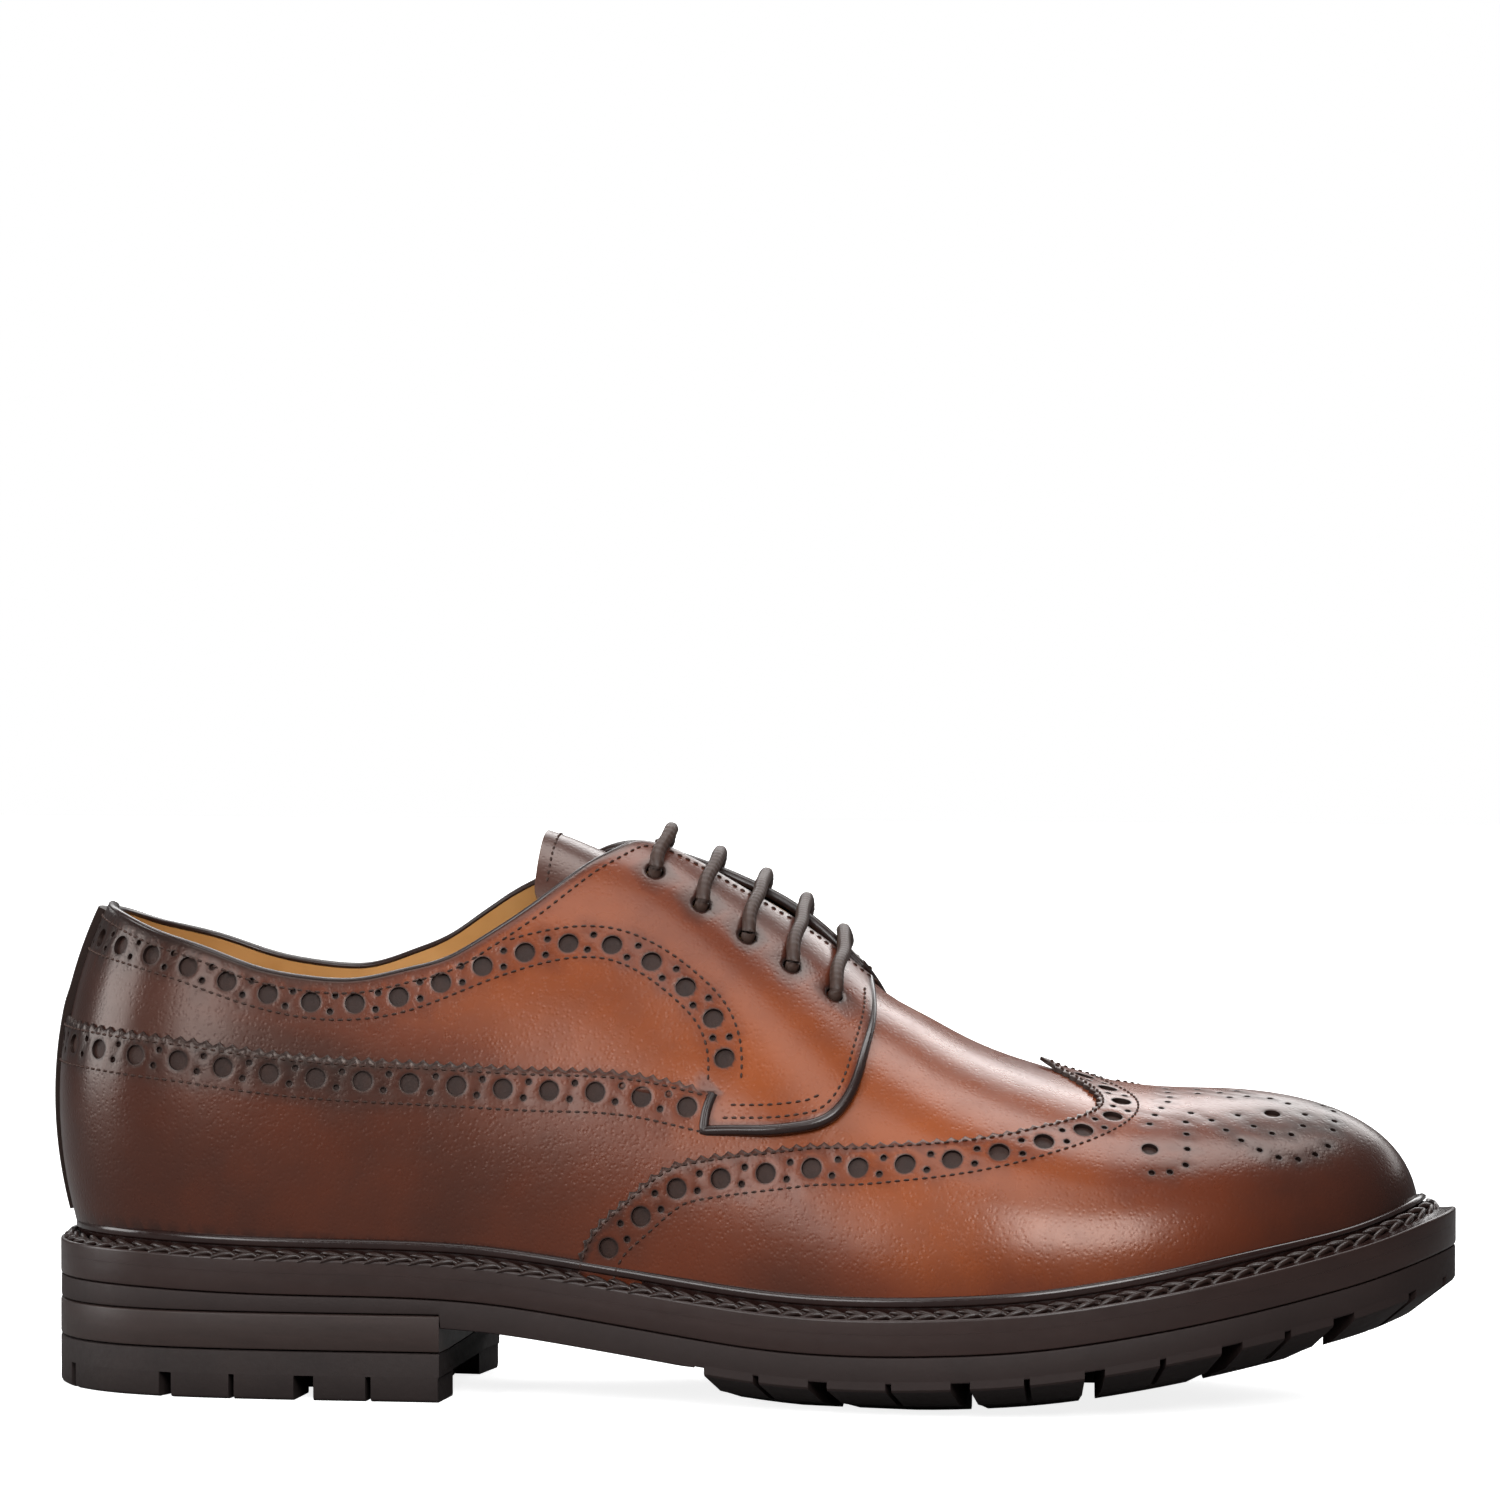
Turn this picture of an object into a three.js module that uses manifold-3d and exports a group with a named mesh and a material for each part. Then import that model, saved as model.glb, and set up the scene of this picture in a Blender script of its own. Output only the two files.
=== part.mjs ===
// Brogue derby shoe for the right foot, standing on its sole.
// Millimetres, +Z up, +X from the heel to the toe, +Y to the inner (medial) side of the foot.
// The origin is on the floor, under the middle of the heel.
import * as THREE from 'three';
import { mergeVertices } from 'three/addons/utils/BufferGeometryUtils.js';
import Module from 'manifold-3d';

const wasm = await Module();
wasm.setup();

// Driving sizes
const soleLength = 308;
const heelWidth = 72;
const waistWidth = 68;
const ballWidth = 109;
const heelSeatHeight = 32;
const quarterHeight = 91;
const medialLift = 1.8;
const instepHeight = 122;
const toeBoxHeight = 65.2;
const upperWall = 2.2;
const clearance = 0.3;
const weltThickness = 3;
const lipHeight = 4.3;
const lipThickness = 1.9;
const midsoleThickness = 4.5;
const waistRubber = 6;
const foreRubber = 5.6;
const sideBand = 1.5;
const treadDepth = 21.6;
const treadEdgeRise = 2.6;
const heelBreast = 92;
const treadBack = 149;
const liftTop = 18.8;
const topPieceTop = 10.6;
const topPieceLug = 7;
const insoleThickness = 3.5;
const wingRise = 1.1;
const foxingRise = 0.9;
const tabRise = 2.2;
const stripRise = 1.7;
const stripWidth = 7;
const tongueThickness = 2.2;
const tongueHalfWidth = 25;
const throatGap = 13;
const laceDiameter = 3.1;
const eyeletDiameter = 3.6;
const eyeletCount = 5;
const eyeletFirst = 134.8;
const eyeletPitch = 10.2;
const eyeletFromEdge = 11;
const stripLap = 0.012;

// Mesh fineness
const stationCount = 30;
const rowCount = 9;

// Sole outline. along is a share of soleLength; lateral and medial are shares of the width named in the row.
const outlineRows = [
  { along: 0.065, width: heelWidth, lateral: 0.43, medial: 0.43 },
  { along: 0.13, width: heelWidth, lateral: 0.5, medial: 0.493 },
  { along: 0.195, width: heelWidth, lateral: 0.514, medial: 0.486 },
  { along: 0.26, width: heelWidth, lateral: 0.514, medial: 0.458 },
  { along: 0.325, width: waistWidth, lateral: 0.551, medial: 0.456 },
  { along: 0.39, width: waistWidth, lateral: 0.581, medial: 0.456 },
  { along: 0.455, width: waistWidth, lateral: 0.632, medial: 0.5 },
  { along: 0.52, width: ballWidth, lateral: 0.436, medial: 0.358 },
  { along: 0.585, width: ballWidth, lateral: 0.477, medial: 0.413 },
  { along: 0.65, width: ballWidth, lateral: 0.505, medial: 0.459 },
  { along: 0.71, width: ballWidth, lateral: 0.514, medial: 0.483 },
  { along: 0.78, width: ballWidth, lateral: 0.488, medial: 0.47 },
  { along: 0.845, width: ballWidth, lateral: 0.425, medial: 0.408 },
  { along: 0.91, width: ballWidth, lateral: 0.318, medial: 0.315 },
  { along: 0.955, width: ballWidth, lateral: 0.214, medial: 0.222 },
  { along: 0.985, width: ballWidth, lateral: 0.105, medial: 0.12 },
];
const toeTipShare = 0.018; // the toe's tip leans this share of ballWidth to the medial side

// Height of the welt's top over the floor: along a share of soleLength, rise a share of heelSeatHeight.
const soleTopRows = [
  [0, 1], [0.065, 0.99], [0.12, 0.972], [0.19, 0.957], [0.26, 0.952], [0.327, 0.925], [0.396, 0.847],
  [0.466, 0.757], [0.525, 0.692], [0.594, 0.666], [0.66, 0.685], [0.727, 0.735], [0.79, 0.822],
  [0.854, 0.934], [0.917, 1.066], [0.948, 1.143], [0.979, 1.24], [1, 1.31],
];

// How far the foot of the upper stands in from the sole's edge: share of its length, share of ballWidth.
const weltShelfRows = [
  [0, 0.0587], [0.25, 0.0459], [0.4, 0.0477], [0.55, 0.0569], [0.7, 0.0642], [0.85, 0.0752], [1, 0.0862],
];

// Crown line of the last, the ridge of the foot: along, rise as a share of the height named in the row.
const crownRows = [
  { along: 0.114, height: instepHeight, rise: 1.107 },
  { along: 0.211, height: instepHeight, rise: 1.08 },
  { along: 0.292, height: instepHeight, rise: 1.054 },
  { along: 0.351, height: instepHeight, rise: 1.027 },
  { along: 0.39, height: instepHeight, rise: 1.005 },
  { along: 0.416, height: instepHeight, rise: 0.989 },
  { along: 0.445, height: instepHeight, rise: 0.961 },
  { along: 0.488, height: instepHeight, rise: 0.903 },
  { along: 0.517, height: instepHeight, rise: 0.859 },
  { along: 0.546, height: instepHeight, rise: 0.81 },
  { along: 0.575, height: instepHeight, rise: 0.75 },
  { along: 0.591, height: instepHeight, rise: 0.715 },
  { along: 0.62, height: instepHeight, rise: 0.673 },
  { along: 0.648, height: instepHeight, rise: 0.635 },
  { along: 0.677, height: instepHeight, rise: 0.604 },
  { along: 0.72, height: toeBoxHeight, rise: 1.068 },
  { along: 0.748, height: toeBoxHeight, rise: 1.031 },
  { along: 0.775, height: toeBoxHeight, rise: 1.009 },
  { along: 0.802, height: toeBoxHeight, rise: 1.002 },
  { along: 0.83, height: toeBoxHeight, rise: 1 },
];
// The crown line seen from above: along, shift to the medial side as a share of ballWidth.
const crownShiftRows = [
  [0.114, 0.009], [0.292, 0.028], [0.422, 0.055], [0.584, 0.055], [0.692, 0.064], [0.779, 0.101], [0.83, 0.11],
];

// Cross-section of the last, by share of the feather line's length: bulge over the feather line,
// height of the lower handle and length of the upper handle of one cubic arc from feather line to crown.
const sectionRows = [
  { along: 0, bulge: 0.78, low: 0.58, top: 0.2 },
  { along: 0.03, bulge: 0.52, low: 0.58, top: 0.42 },
  { along: 0.08, bulge: 0.34, low: 0.56, top: 0.62 },
  { along: 0.15, bulge: 0.26, low: 0.52, top: 0.68 },
  { along: 0.25, bulge: 0.18, low: 0.48, top: 0.68 },
  { along: 0.35, bulge: 0.16, low: 0.47, top: 0.66 },
  { along: 0.45, bulge: 0.14, low: 0.5, top: 0.66 },
  { along: 0.55, bulge: 0.12, low: 0.5, top: 0.64 },
  { along: 0.65, bulge: 0.1, low: 0.55, top: 0.66 },
  { along: 0.75, bulge: 0.09, low: 0.62, top: 0.68 },
  { along: 0.85, bulge: 0.08, low: 0.7, top: 0.66 },
  { along: 0.93, bulge: 0.08, low: 0.8, top: 0.52 },
  { along: 1, bulge: 0.08, low: 0.89, top: 0.37 },
];

// Topline of the quarters on the lateral side: along, rise as a share of the height named in the row.
const toplineRows = [
  { along: -0.02, height: quarterHeight, rise: 1.19 },
  { along: 0.042, height: quarterHeight, rise: 1.154 },
  { along: 0.084, height: quarterHeight, rise: 1.106 },
  { along: 0.124, height: quarterHeight, rise: 1.067 },
  { along: 0.162, height: quarterHeight, rise: 1.023 },
  { along: 0.198, height: quarterHeight, rise: 1.001 },
  { along: 0.235, height: quarterHeight, rise: 0.997 },
  { along: 0.27, height: quarterHeight, rise: 1.022 },
  { along: 0.299, height: quarterHeight, rise: 1.051 },
  { along: 0.32, height: instepHeight, rise: 0.815 },
  { along: 0.339, height: instepHeight, rise: 0.847 },
  { along: 0.358, height: instepHeight, rise: 0.882 },
  { along: 0.376, height: instepHeight, rise: 0.919 },
  { along: 0.393, height: instepHeight, rise: 0.95 },
  { along: 0.405, height: instepHeight, rise: 0.966 },
  { along: 0.42, height: instepHeight, rise: 0.976 },
  { along: 0.437, height: instepHeight, rise: 0.985 },
  { along: 0.46, height: instepHeight, rise: 1.05 },
  { along: 0.6, height: instepHeight, rise: 1.5 },
];
const topYawn = 0.36; // behind this share of the length the topline alone bounds the quarters

// Throat between the facings: along, opening as a share of throatGap.
const throatRows = [[0.36, 0.5], [0.42, 1], [0.47, 1], [0.55, 0.8], [0.575, 0.55], [0.586, 0.25], [0.592, 0]];

// Edges of the overlays seen from the side: along, rise as a share of the way from welt top to crown.
const wingEdgeRows = [
  [0.39, -0.3], [0.395, 0.033], [0.405, 0.107], [0.425, 0.187], [0.445, 0.258], [0.465, 0.318], [0.485, 0.358],
  [0.505, 0.39], [0.545, 0.458], [0.585, 0.543], [0.624, 0.617], [0.662, 0.697], [0.693, 0.764], [0.723, 0.842],
  [0.743, 0.9], [0.75, 0.945], [0.744, 0.975], [0.727, 0.99], [0.71, 0.99], [0.706, 1.2],
];
const foxingEdgeRows = [
  [-0.06, 0.473], [0.017, 0.473], [0.063, 0.463], [0.118, 0.451], [0.188, 0.439], [0.256, 0.437],
  [0.324, 0.447], [0.393, 0.471], [0.462, 0.513], [0.495, 0.53], [0.52, 0.46], [0.59, 0.42],
];
const tabEdgeRows = [
  [0.36, 1.4], [0.36, 0.6], [0.42, 0.53], [0.494, 0.528], [0.487, 0.483], [0.485, 0.424], [0.511, 0.45],
  [0.532, 0.474], [0.552, 0.511], [0.572, 0.574], [0.583, 0.644], [0.589, 0.721], [0.594, 0.822],
  [0.597, 0.914], [0.594, 0.985], [0.594, 1.4],
];
const tabFade = { from: 0.375, to: 0.47 };
const foxingFade = { from: 0.44, to: 0.57 };
const fadeDepth = 0.4; // an overlay that fades out ends this far under the surface

// Tongue's crown line: along, rise as a share of instepHeight.
const tongueRows = [
  [0.335, 1.01], [0.353, 1], [0.39, 0.965], [0.438, 0.917], [0.487, 0.868], [0.535, 0.8], [0.58, 0.71], [0.64, 0.63],
];
const tongueEnds = { top: 0.345, front: 0.625 };
const tongueTaper = 0.62; // front width over top width
const tongueLowest = 0.6; // the way up a section at which the leaf ends at the latest
const tongueSlack = 0.4;

// Lug gaps of the outsole, shares of soleLength; those of the top piece, shares of heelBreast.
const foreGapRows = [0.484, 0.573, 0.674, 0.766, 0.857, 0.93];
const heelGapRows = [0.02, 0.33, 0.68];
const lugGap = 4.2;
const lugBevel = 9;
const lugWidth = 22;
const centreLugWidth = 24;
const heelLugWidth = 15;

// A natural cubic spline through the points xs, ys, held flat past its ends
function spline(xs, ys) {
  const n = xs.length;
  const upper = new Array(n).fill(0);
  const bend = new Array(n).fill(0);
  for (let i = 1; i < n - 1; i++) {
    const before = xs[i] - xs[i - 1];
    const after = xs[i + 1] - xs[i];
    const slopeChange = (ys[i + 1] - ys[i]) / after - (ys[i] - ys[i - 1]) / before;
    const pivot = 2 * (before + after) - before * upper[i - 1];
    upper[i] = after / pivot;
    bend[i] = (6 * slopeChange - before * bend[i - 1]) / pivot;
  }
  for (let i = n - 2; i > 0; i--) bend[i] -= upper[i] * bend[i + 1];
  return (value) => {
    const x = Math.min(Math.max(value, xs[0]), xs[n - 1]);
    let i = 0;
    while (i < n - 2 && x > xs[i + 1]) i++;
    const h = xs[i + 1] - xs[i];
    const a = (xs[i + 1] - x) / h;
    const b = (x - xs[i]) / h;
    return a * ys[i] + b * ys[i + 1] + ((a ** 3 - a) * bend[i] + (b ** 3 - b) * bend[i + 1]) * h * h / 6;
  };
}

const column = (rows, name) => rows.map((row) => row[name]);
const angleOf = (share) => Math.acos(1 - 2 * Math.min(Math.max(share, 0), 1));
const shareOf = (angle) => (1 - Math.cos(angle)) / 2;
const lengths = (shares) => shares.map((share) => share * soleLength);

// The sole's outline by angle: 0 at the heel, negative round the lateral side, pi at the toe
const outlineAngles = [0, ...column(outlineRows, 'along').map(angleOf), Math.PI];
const toeTip = toeTipShare * ballWidth;
const lateralHalf = spline(outlineAngles, [0, ...outlineRows.map((row) => row.width * row.lateral), -toeTip]);
const medialHalf = spline(outlineAngles, [0, ...outlineRows.map((row) => row.width * row.medial), toeTip]);

function wrap(angle) {
  if (angle > Math.PI) return angle - 2 * Math.PI;
  return angle < -Math.PI ? angle + 2 * Math.PI : angle;
}

function solePoint(angle) {
  const a = wrap(angle);
  const turn = Math.abs(a);
  const y = a < 0 ? -lateralHalf(turn) : medialHalf(turn);
  return new THREE.Vector2(shareOf(turn) * soleLength, y);
}

const probe = 1e-3;

// The sole's outline moved inwards
function soleInset(angle, inset) {
  const along = solePoint(angle + probe).sub(solePoint(angle - probe)).normalize();
  const point = solePoint(angle);
  return new THREE.Vector2(point.x - along.y * -inset, point.y - along.x * inset);
}

const soleTopSpline = spline(lengths(soleTopRows.map((row) => row[0])), soleTopRows.map((row) => row[1]));
const soleTop = (x) => heelSeatHeight * soleTopSpline(x);

const shelfSpline = spline(weltShelfRows.map((row) => row[0]), weltShelfRows.map((row) => row[1]));
const weltShelf = (angle) => ballWidth * shelfSpline(shareOf(wrap(angle)));

const crownHeight = spline(lengths(column(crownRows, 'along')), crownRows.map((row) => row.height * row.rise));
const crownShiftSpline = spline(lengths(crownShiftRows.map((row) => row[0])), crownShiftRows.map((row) => row[1]));
const crownShift = (x) => ballWidth * crownShiftSpline(x);
const crownBack = crownRows[0].along * soleLength;
const crownFront = crownRows[crownRows.length - 1].along * soleLength;
const crownX = (turn) => crownBack + (crownFront - crownBack) * shareOf(turn);
const crownTurn = (x) => angleOf((x - crownBack) / (crownFront - crownBack));

const sectionAngles = column(sectionRows, 'along').map(angleOf);
const bulgeAt = spline(sectionAngles, column(sectionRows, 'bulge'));
const lowAt = spline(sectionAngles, column(sectionRows, 'low'));
const topAt = spline(sectionAngles, column(sectionRows, 'top'));

// A point of the last: angle round the feather line, way 0 at the feather line and 1 at the crown
function lastPoint(angle, way) {
  const turn = Math.abs(wrap(angle));
  const rest = 1 - way;
  const reach = rest ** 3 + 3 * rest * rest * way * (1 + bulgeAt(turn)) + 3 * rest * way * way * topAt(turn);
  const rise = 3 * rest * rest * way * lowAt(turn) + 3 * rest * way * way + way ** 3;
  const foot = soleInset(angle, weltShelf(angle));
  const ridge = crownX(turn);
  const x = ridge + (foot.x - ridge) * reach;
  const y = crownShift(ridge) + (foot.y - crownShift(ridge)) * reach;
  const base = soleTop(foot.x) - weltThickness;
  return new THREE.Vector3(x, y, base + (crownHeight(x) - base) * rise);
}

// The last's outward normal
function lastNormal(angle, way) {
  if (way >= 1 - probe) {
    const x = crownX(Math.abs(wrap(angle)));
    const slope = (crownHeight(x + probe) - crownHeight(x - probe)) / (2 * probe);
    return new THREE.Vector3(-slope, 0, 1).normalize();
  }
  const around = lastPoint(angle + probe, way).sub(lastPoint(angle - probe, way));
  const up = lastPoint(angle, way + probe).sub(lastPoint(angle, Math.max(way - probe, 0)));
  return up.cross(around).normalize();
}

function onLast(angle, way, offset) {
  return lastPoint(angle, way).addScaledVector(lastNormal(angle, way), offset);
}

const toplineSpline = spline(
  lengths(column(toplineRows, 'along')),
  toplineRows.map((row) => row.height * row.rise),
);
const throatSpline = spline(lengths(throatRows.map((row) => row[0])), throatRows.map((row) => row[1]));
const throatFront = throatRows[throatRows.length - 1][0] * soleLength;

// Positive where the upper has leather, negative in the collar's opening and in the throat
function leather(angle, way) {
  const point = lastPoint(angle, way);
  const lift = wrap(angle) > 0 ? medialLift * Math.min(point.x / (0.1 * soleLength), 1) : 0;
  const underTopline = toplineSpline(point.x) + lift - point.z;
  if (point.x < topYawn * soleLength) return underTopline;
  const open = point.x < throatFront ? throatGap / 2 * throatSpline(point.x) : 0;
  return Math.min(underTopline, Math.abs(point.y - crownShift(point.x)) - open);
}

// Where a section of the upper ends: 1 where it reaches the crown, less at the collar and the throat
function topWay(angle) {
  if (crownX(Math.abs(wrap(angle))) >= throatFront) return 1;
  const steps = 60;
  let low = 0;
  let high = 1;
  for (let i = 1; i <= steps; i++) {
    high = i / steps;
    if (leather(angle, high) < 0) break;
    low = high;
  }
  for (let i = 0; i < 24; i++) {
    const middle = (low + high) / 2;
    if (leather(angle, middle) < 0) high = middle;
    else low = middle;
  }
  return low;
}

// Stations round the feather line, one at the throat's front, the same on both sides
const stations = [];
for (let i = 0; i <= stationCount; i++) stations.push(Math.PI * i / stationCount);
stations.push(crownTurn(throatFront));
stations.sort((a, b) => a - b);
const roundStations = [...stations.slice(1).reverse().map((a) => -a), ...stations.slice(0, -1)];

// Triangles gathered as loose corners and closed into one body
class Body {
  constructor() {
    this.corners = [];
  }

  face(a, b, c) {
    this.corners.push(a, b, c);
  }

  quad(a, b, c, d) {
    this.face(a, b, c);
    this.face(a, c, d);
  }

  geometry() {
    const array = new Float32Array(this.corners.length * 3);
    this.corners.forEach((corner, i) => corner.toArray(array, i * 3));
    const loose = new THREE.BufferGeometry();
    loose.setAttribute('position', new THREE.BufferAttribute(array, 3));
    const merged = mergeVertices(loose, 1e-3);
    const index = merged.index.array;
    const kept = [];
    for (let i = 0; i < index.length; i += 3) {
      const [a, b, c] = [index[i], index[i + 1], index[i + 2]];
      if (a !== b && b !== c && c !== a) kept.push(a, b, c);
    }
    merged.setIndex(kept);
    return outward(merged);
  }
}

function signedVolume(geometry) {
  const position = geometry.attributes.position;
  const index = geometry.index.array;
  const [a, b, c] = [new THREE.Vector3(), new THREE.Vector3(), new THREE.Vector3()];
  let volume = 0;
  for (let i = 0; i < index.length; i += 3) {
    a.fromBufferAttribute(position, index[i]);
    b.fromBufferAttribute(position, index[i + 1]);
    c.fromBufferAttribute(position, index[i + 2]);
    volume += a.dot(b.clone().cross(c)) / 6;
  }
  return volume;
}

function outward(geometry) {
  if (signedVolume(geometry) > 0) return geometry;
  const index = geometry.index.array;
  for (let i = 0; i < index.length; i += 3) [index[i], index[i + 1]] = [index[i + 1], index[i]];
  return geometry;
}

// A closed body through sections with the same number of points; a ring closes on itself
function loft(sections, ring = false) {
  const body = new Body();
  const count = sections[0].length;
  const last = ring ? sections.length : sections.length - 1;
  for (let i = 0; i < last; i++) {
    const here = sections[i];
    const next = sections[(i + 1) % sections.length];
    for (let j = 0; j < count; j++) {
      const k = (j + 1) % count;
      body.quad(here[j], here[k], next[k], next[j]);
    }
  }
  if (!ring) {
    for (let j = 1; j < count - 1; j++) {
      body.face(sections[0][0], sections[0][j + 1], sections[0][j]);
      const end = sections[sections.length - 1];
      body.face(end[0], end[j], end[j + 1]);
    }
  }
  return body.geometry();
}

function toSolid(geometry) {
  const plain = geometry.clone();
  for (const name of ['normal', 'uv']) plain.deleteAttribute(name);
  const merged = mergeVertices(plain, 1e-4);
  const mesh = new wasm.Mesh({
    numProp: 3,
    vertProperties: new Float32Array(merged.attributes.position.array),
    triVerts: new Uint32Array(merged.index.array),
  });
  return new wasm.Manifold(mesh);
}

// The main body of a solid, without slivers that the facets leave where two surfaces cross
function fromSolid(solid) {
  const bodies = solid.decompose().sort((a, b) => b.volume() - a.volume());
  const mesh = bodies[0].getMesh();
  const geometry = new THREE.BufferGeometry();
  geometry.setAttribute('position', new THREE.BufferAttribute(new Float32Array(mesh.vertProperties), 3));
  geometry.setIndex(Array.from(mesh.triVerts));
  return geometry;
}

// A closed shell of the upper between two offsets from the last
function shell({ outer, inner, start = 0, trim = 0 }) {
  const columnsOfShell = roundStations.map((angle) => {
    const end = topWay(angle) - (topWay(angle) < 1 ? trim : 0);
    const rows = { outer: [], inner: [], closed: topWay(angle) === 1 };
    for (let j = 0; j <= rowCount; j++) {
      const way = start + (end - start) * j / rowCount;
      rows.outer.push(onLast(angle, way, outer(angle, way)));
      rows.inner.push(onLast(angle, way, inner));
    }
    return rows;
  });
  const body = new Body();
  for (let i = 0; i < columnsOfShell.length; i++) {
    const here = columnsOfShell[i];
    const next = columnsOfShell[(i + 1) % columnsOfShell.length];
    for (let j = 0; j < rowCount; j++) {
      body.quad(here.outer[j], next.outer[j], next.outer[j + 1], here.outer[j + 1]);
      body.quad(here.inner[j], here.inner[j + 1], next.inner[j + 1], next.inner[j]);
    }
    body.quad(here.outer[0], here.inner[0], next.inner[0], next.outer[0]);
    if (!(here.closed && next.closed)) {
      const [a, b] = [here.outer[rowCount], next.outer[rowCount]];
      body.quad(a, b, next.inner[rowCount], here.inner[rowCount]);
    }
  }
  return toSolid(body.geometry());
}

// A block across the whole shoe whose outline is an overlay's edge seen from the side
function sideCutter(rows, closing) {
  const outline = [...rows, ...closing].map(([along, rise]) => {
    const x = along * soleLength;
    const top = soleTop(x);
    return new THREE.Vector2(x, top + rise * (crownHeight(x) - top));
  });
  const block = new THREE.ExtrudeGeometry(new THREE.Shape(outline), { depth: 2 * ballWidth, bevelEnabled: false });
  block.rotateX(Math.PI / 2);
  block.translate(0, ballWidth, 0);
  return toSolid(block);
}

const fade = (x, { from, to }) => THREE.MathUtils.smoothstep(x, from * soleLength, to * soleLength);

// A place on one side of the shoe, at a length and at a distance from the crown line
function placeBeside(side, x, fromCrown) {
  let turn = crownTurn(x);
  let way = 1;
  for (let round = 0; round < 6; round++) {
    let [low, high] = [0, 1];
    for (let i = 0; i < 30; i++) {
      way = (low + high) / 2;
      const point = lastPoint(side * turn, way);
      if (Math.abs(point.y - crownShift(point.x)) > fromCrown) low = way;
      else high = way;
    }
    turn += (x - lastPoint(side * turn, way).x) / (crownFront - crownBack);
  }
  return { angle: side * turn, way };
}

const eyelets = [];
for (let i = 0; i < eyeletCount; i++) {
  const x = eyeletFirst + i * eyeletPitch;
  const fromCrown = throatGap / 2 * throatSpline(x) + eyeletFromEdge;
  eyelets.push({ x, lateral: placeBeside(-1, x, fromCrown), medial: placeBeside(1, x, fromCrown) });
}

function eyeletHole({ angle, way }) {
  const depth = 4 * upperWall + 2 * tabRise;
  const drill = new THREE.CylinderGeometry(eyeletDiameter / 2, eyeletDiameter / 2, depth, 8);
  const normal = lastNormal(angle, way);
  drill.applyQuaternion(new THREE.Quaternion().setFromUnitVectors(new THREE.Vector3(0, 1, 0), normal));
  const centre = onLast(angle, way, tabRise / 2);
  drill.translate(centre.x, centre.y, centre.z);
  return toSolid(drill);
}

// An overlay's height over the last where it is fully there, partly there or not there
const faded = (rise, share) => rise * share - fadeDepth * (1 - share);
const tabOuter = (angle, way) => faded(tabRise, fade(lastPoint(angle, way).x, tabFade));
const foxingOuter = (angle, way) => faded(foxingRise, 1 - fade(lastPoint(angle, way).x, foxingFade));

function makeUpper() {
  const core = -upperWall / 2;
  const overlay = (outer) => shell({ outer, inner: core, start: stripLap, trim: stripLap / 2 });
  const wing = overlay(() => wingRise).intersect(sideCutter(wingEdgeRows, [[1.1, 1.8], [1.1, -1.5], [0.39, -1.5]]));
  const foxing = overlay(foxingOuter)
    .intersect(sideCutter(foxingEdgeRows, [[0.59, -0.4], [-0.06, -0.4]]));
  const tabs = overlay(tabOuter).intersect(sideCutter(tabEdgeRows, []));
  const strip = new THREE.BoxGeometry(2 * heelWidth, stripWidth, 2 * quarterHeight);
  strip.translate(-heelWidth + 0.1 * soleLength, 0, quarterHeight + heelSeatHeight + lipHeight + 2 * clearance);
  const backStrip = overlay(() => stripRise).intersect(toSolid(strip));
  let upper = shell({ outer: () => 0, inner: -upperWall });
  for (const part of [foxing, wing, tabs, backStrip]) upper = upper.add(part);
  for (const { lateral, medial } of eyelets) {
    upper = upper.subtract(eyeletHole(lateral)).subtract(eyeletHole(medial));
  }
  return fromSolid(upper);
}

// A flat or curved plate inside an outline, between two heights given by length
function plate(outline, zTop, zBottom, turns) {
  const body = new Body();
  const corner = (turn, side, height) => {
    const point = outline(side * turn);
    return new THREE.Vector3(point.x, point.y, height(point.x));
  };
  const rungs = turns.map((turn) => ({
    lt: corner(turn, -1, zTop), lb: corner(turn, -1, zBottom), mt: corner(turn, 1, zTop), mb: corner(turn, 1, zBottom),
  }));
  for (let i = 0; i < rungs.length - 1; i++) {
    const [here, next] = [rungs[i], rungs[i + 1]];
    body.quad(here.lt, next.lt, next.mt, here.mt);
    body.quad(here.lb, here.mb, next.mb, next.lb);
    body.quad(here.lb, next.lb, next.lt, here.lt);
    body.quad(here.mt, next.mt, next.mb, here.mb);
  }
  const [first, end] = [rungs[0], rungs[rungs.length - 1]];
  body.quad(first.lb, first.lt, first.mt, first.mb);
  body.quad(end.lb, end.mb, end.mt, end.lt);
  return body.geometry();
}

const turnAt = (x) => angleOf(x / soleLength);
const midsoleTop = (x) => soleTop(x) - weltThickness - clearance;
const rubberTop = (x) => midsoleTop(x) - midsoleThickness - clearance;
const foreBottom = (x) => rubberTop(x) - foreRubber;
const treadFloor = (x) => Math.max(0, soleTop(x) - treadDepth);

function outsoleBottom(x) {
  if (x <= heelBreast) return liftTop + clearance;
  return x <= treadBack ? rubberTop(x) - waistRubber : foreBottom(x);
}

const stepWidth = 0.4;
const soleTurns = [...stations, turnAt(heelBreast), turnAt(heelBreast + stepWidth), turnAt(treadBack),
  turnAt(treadBack + stepWidth)].sort((a, b) => a - b);

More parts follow.
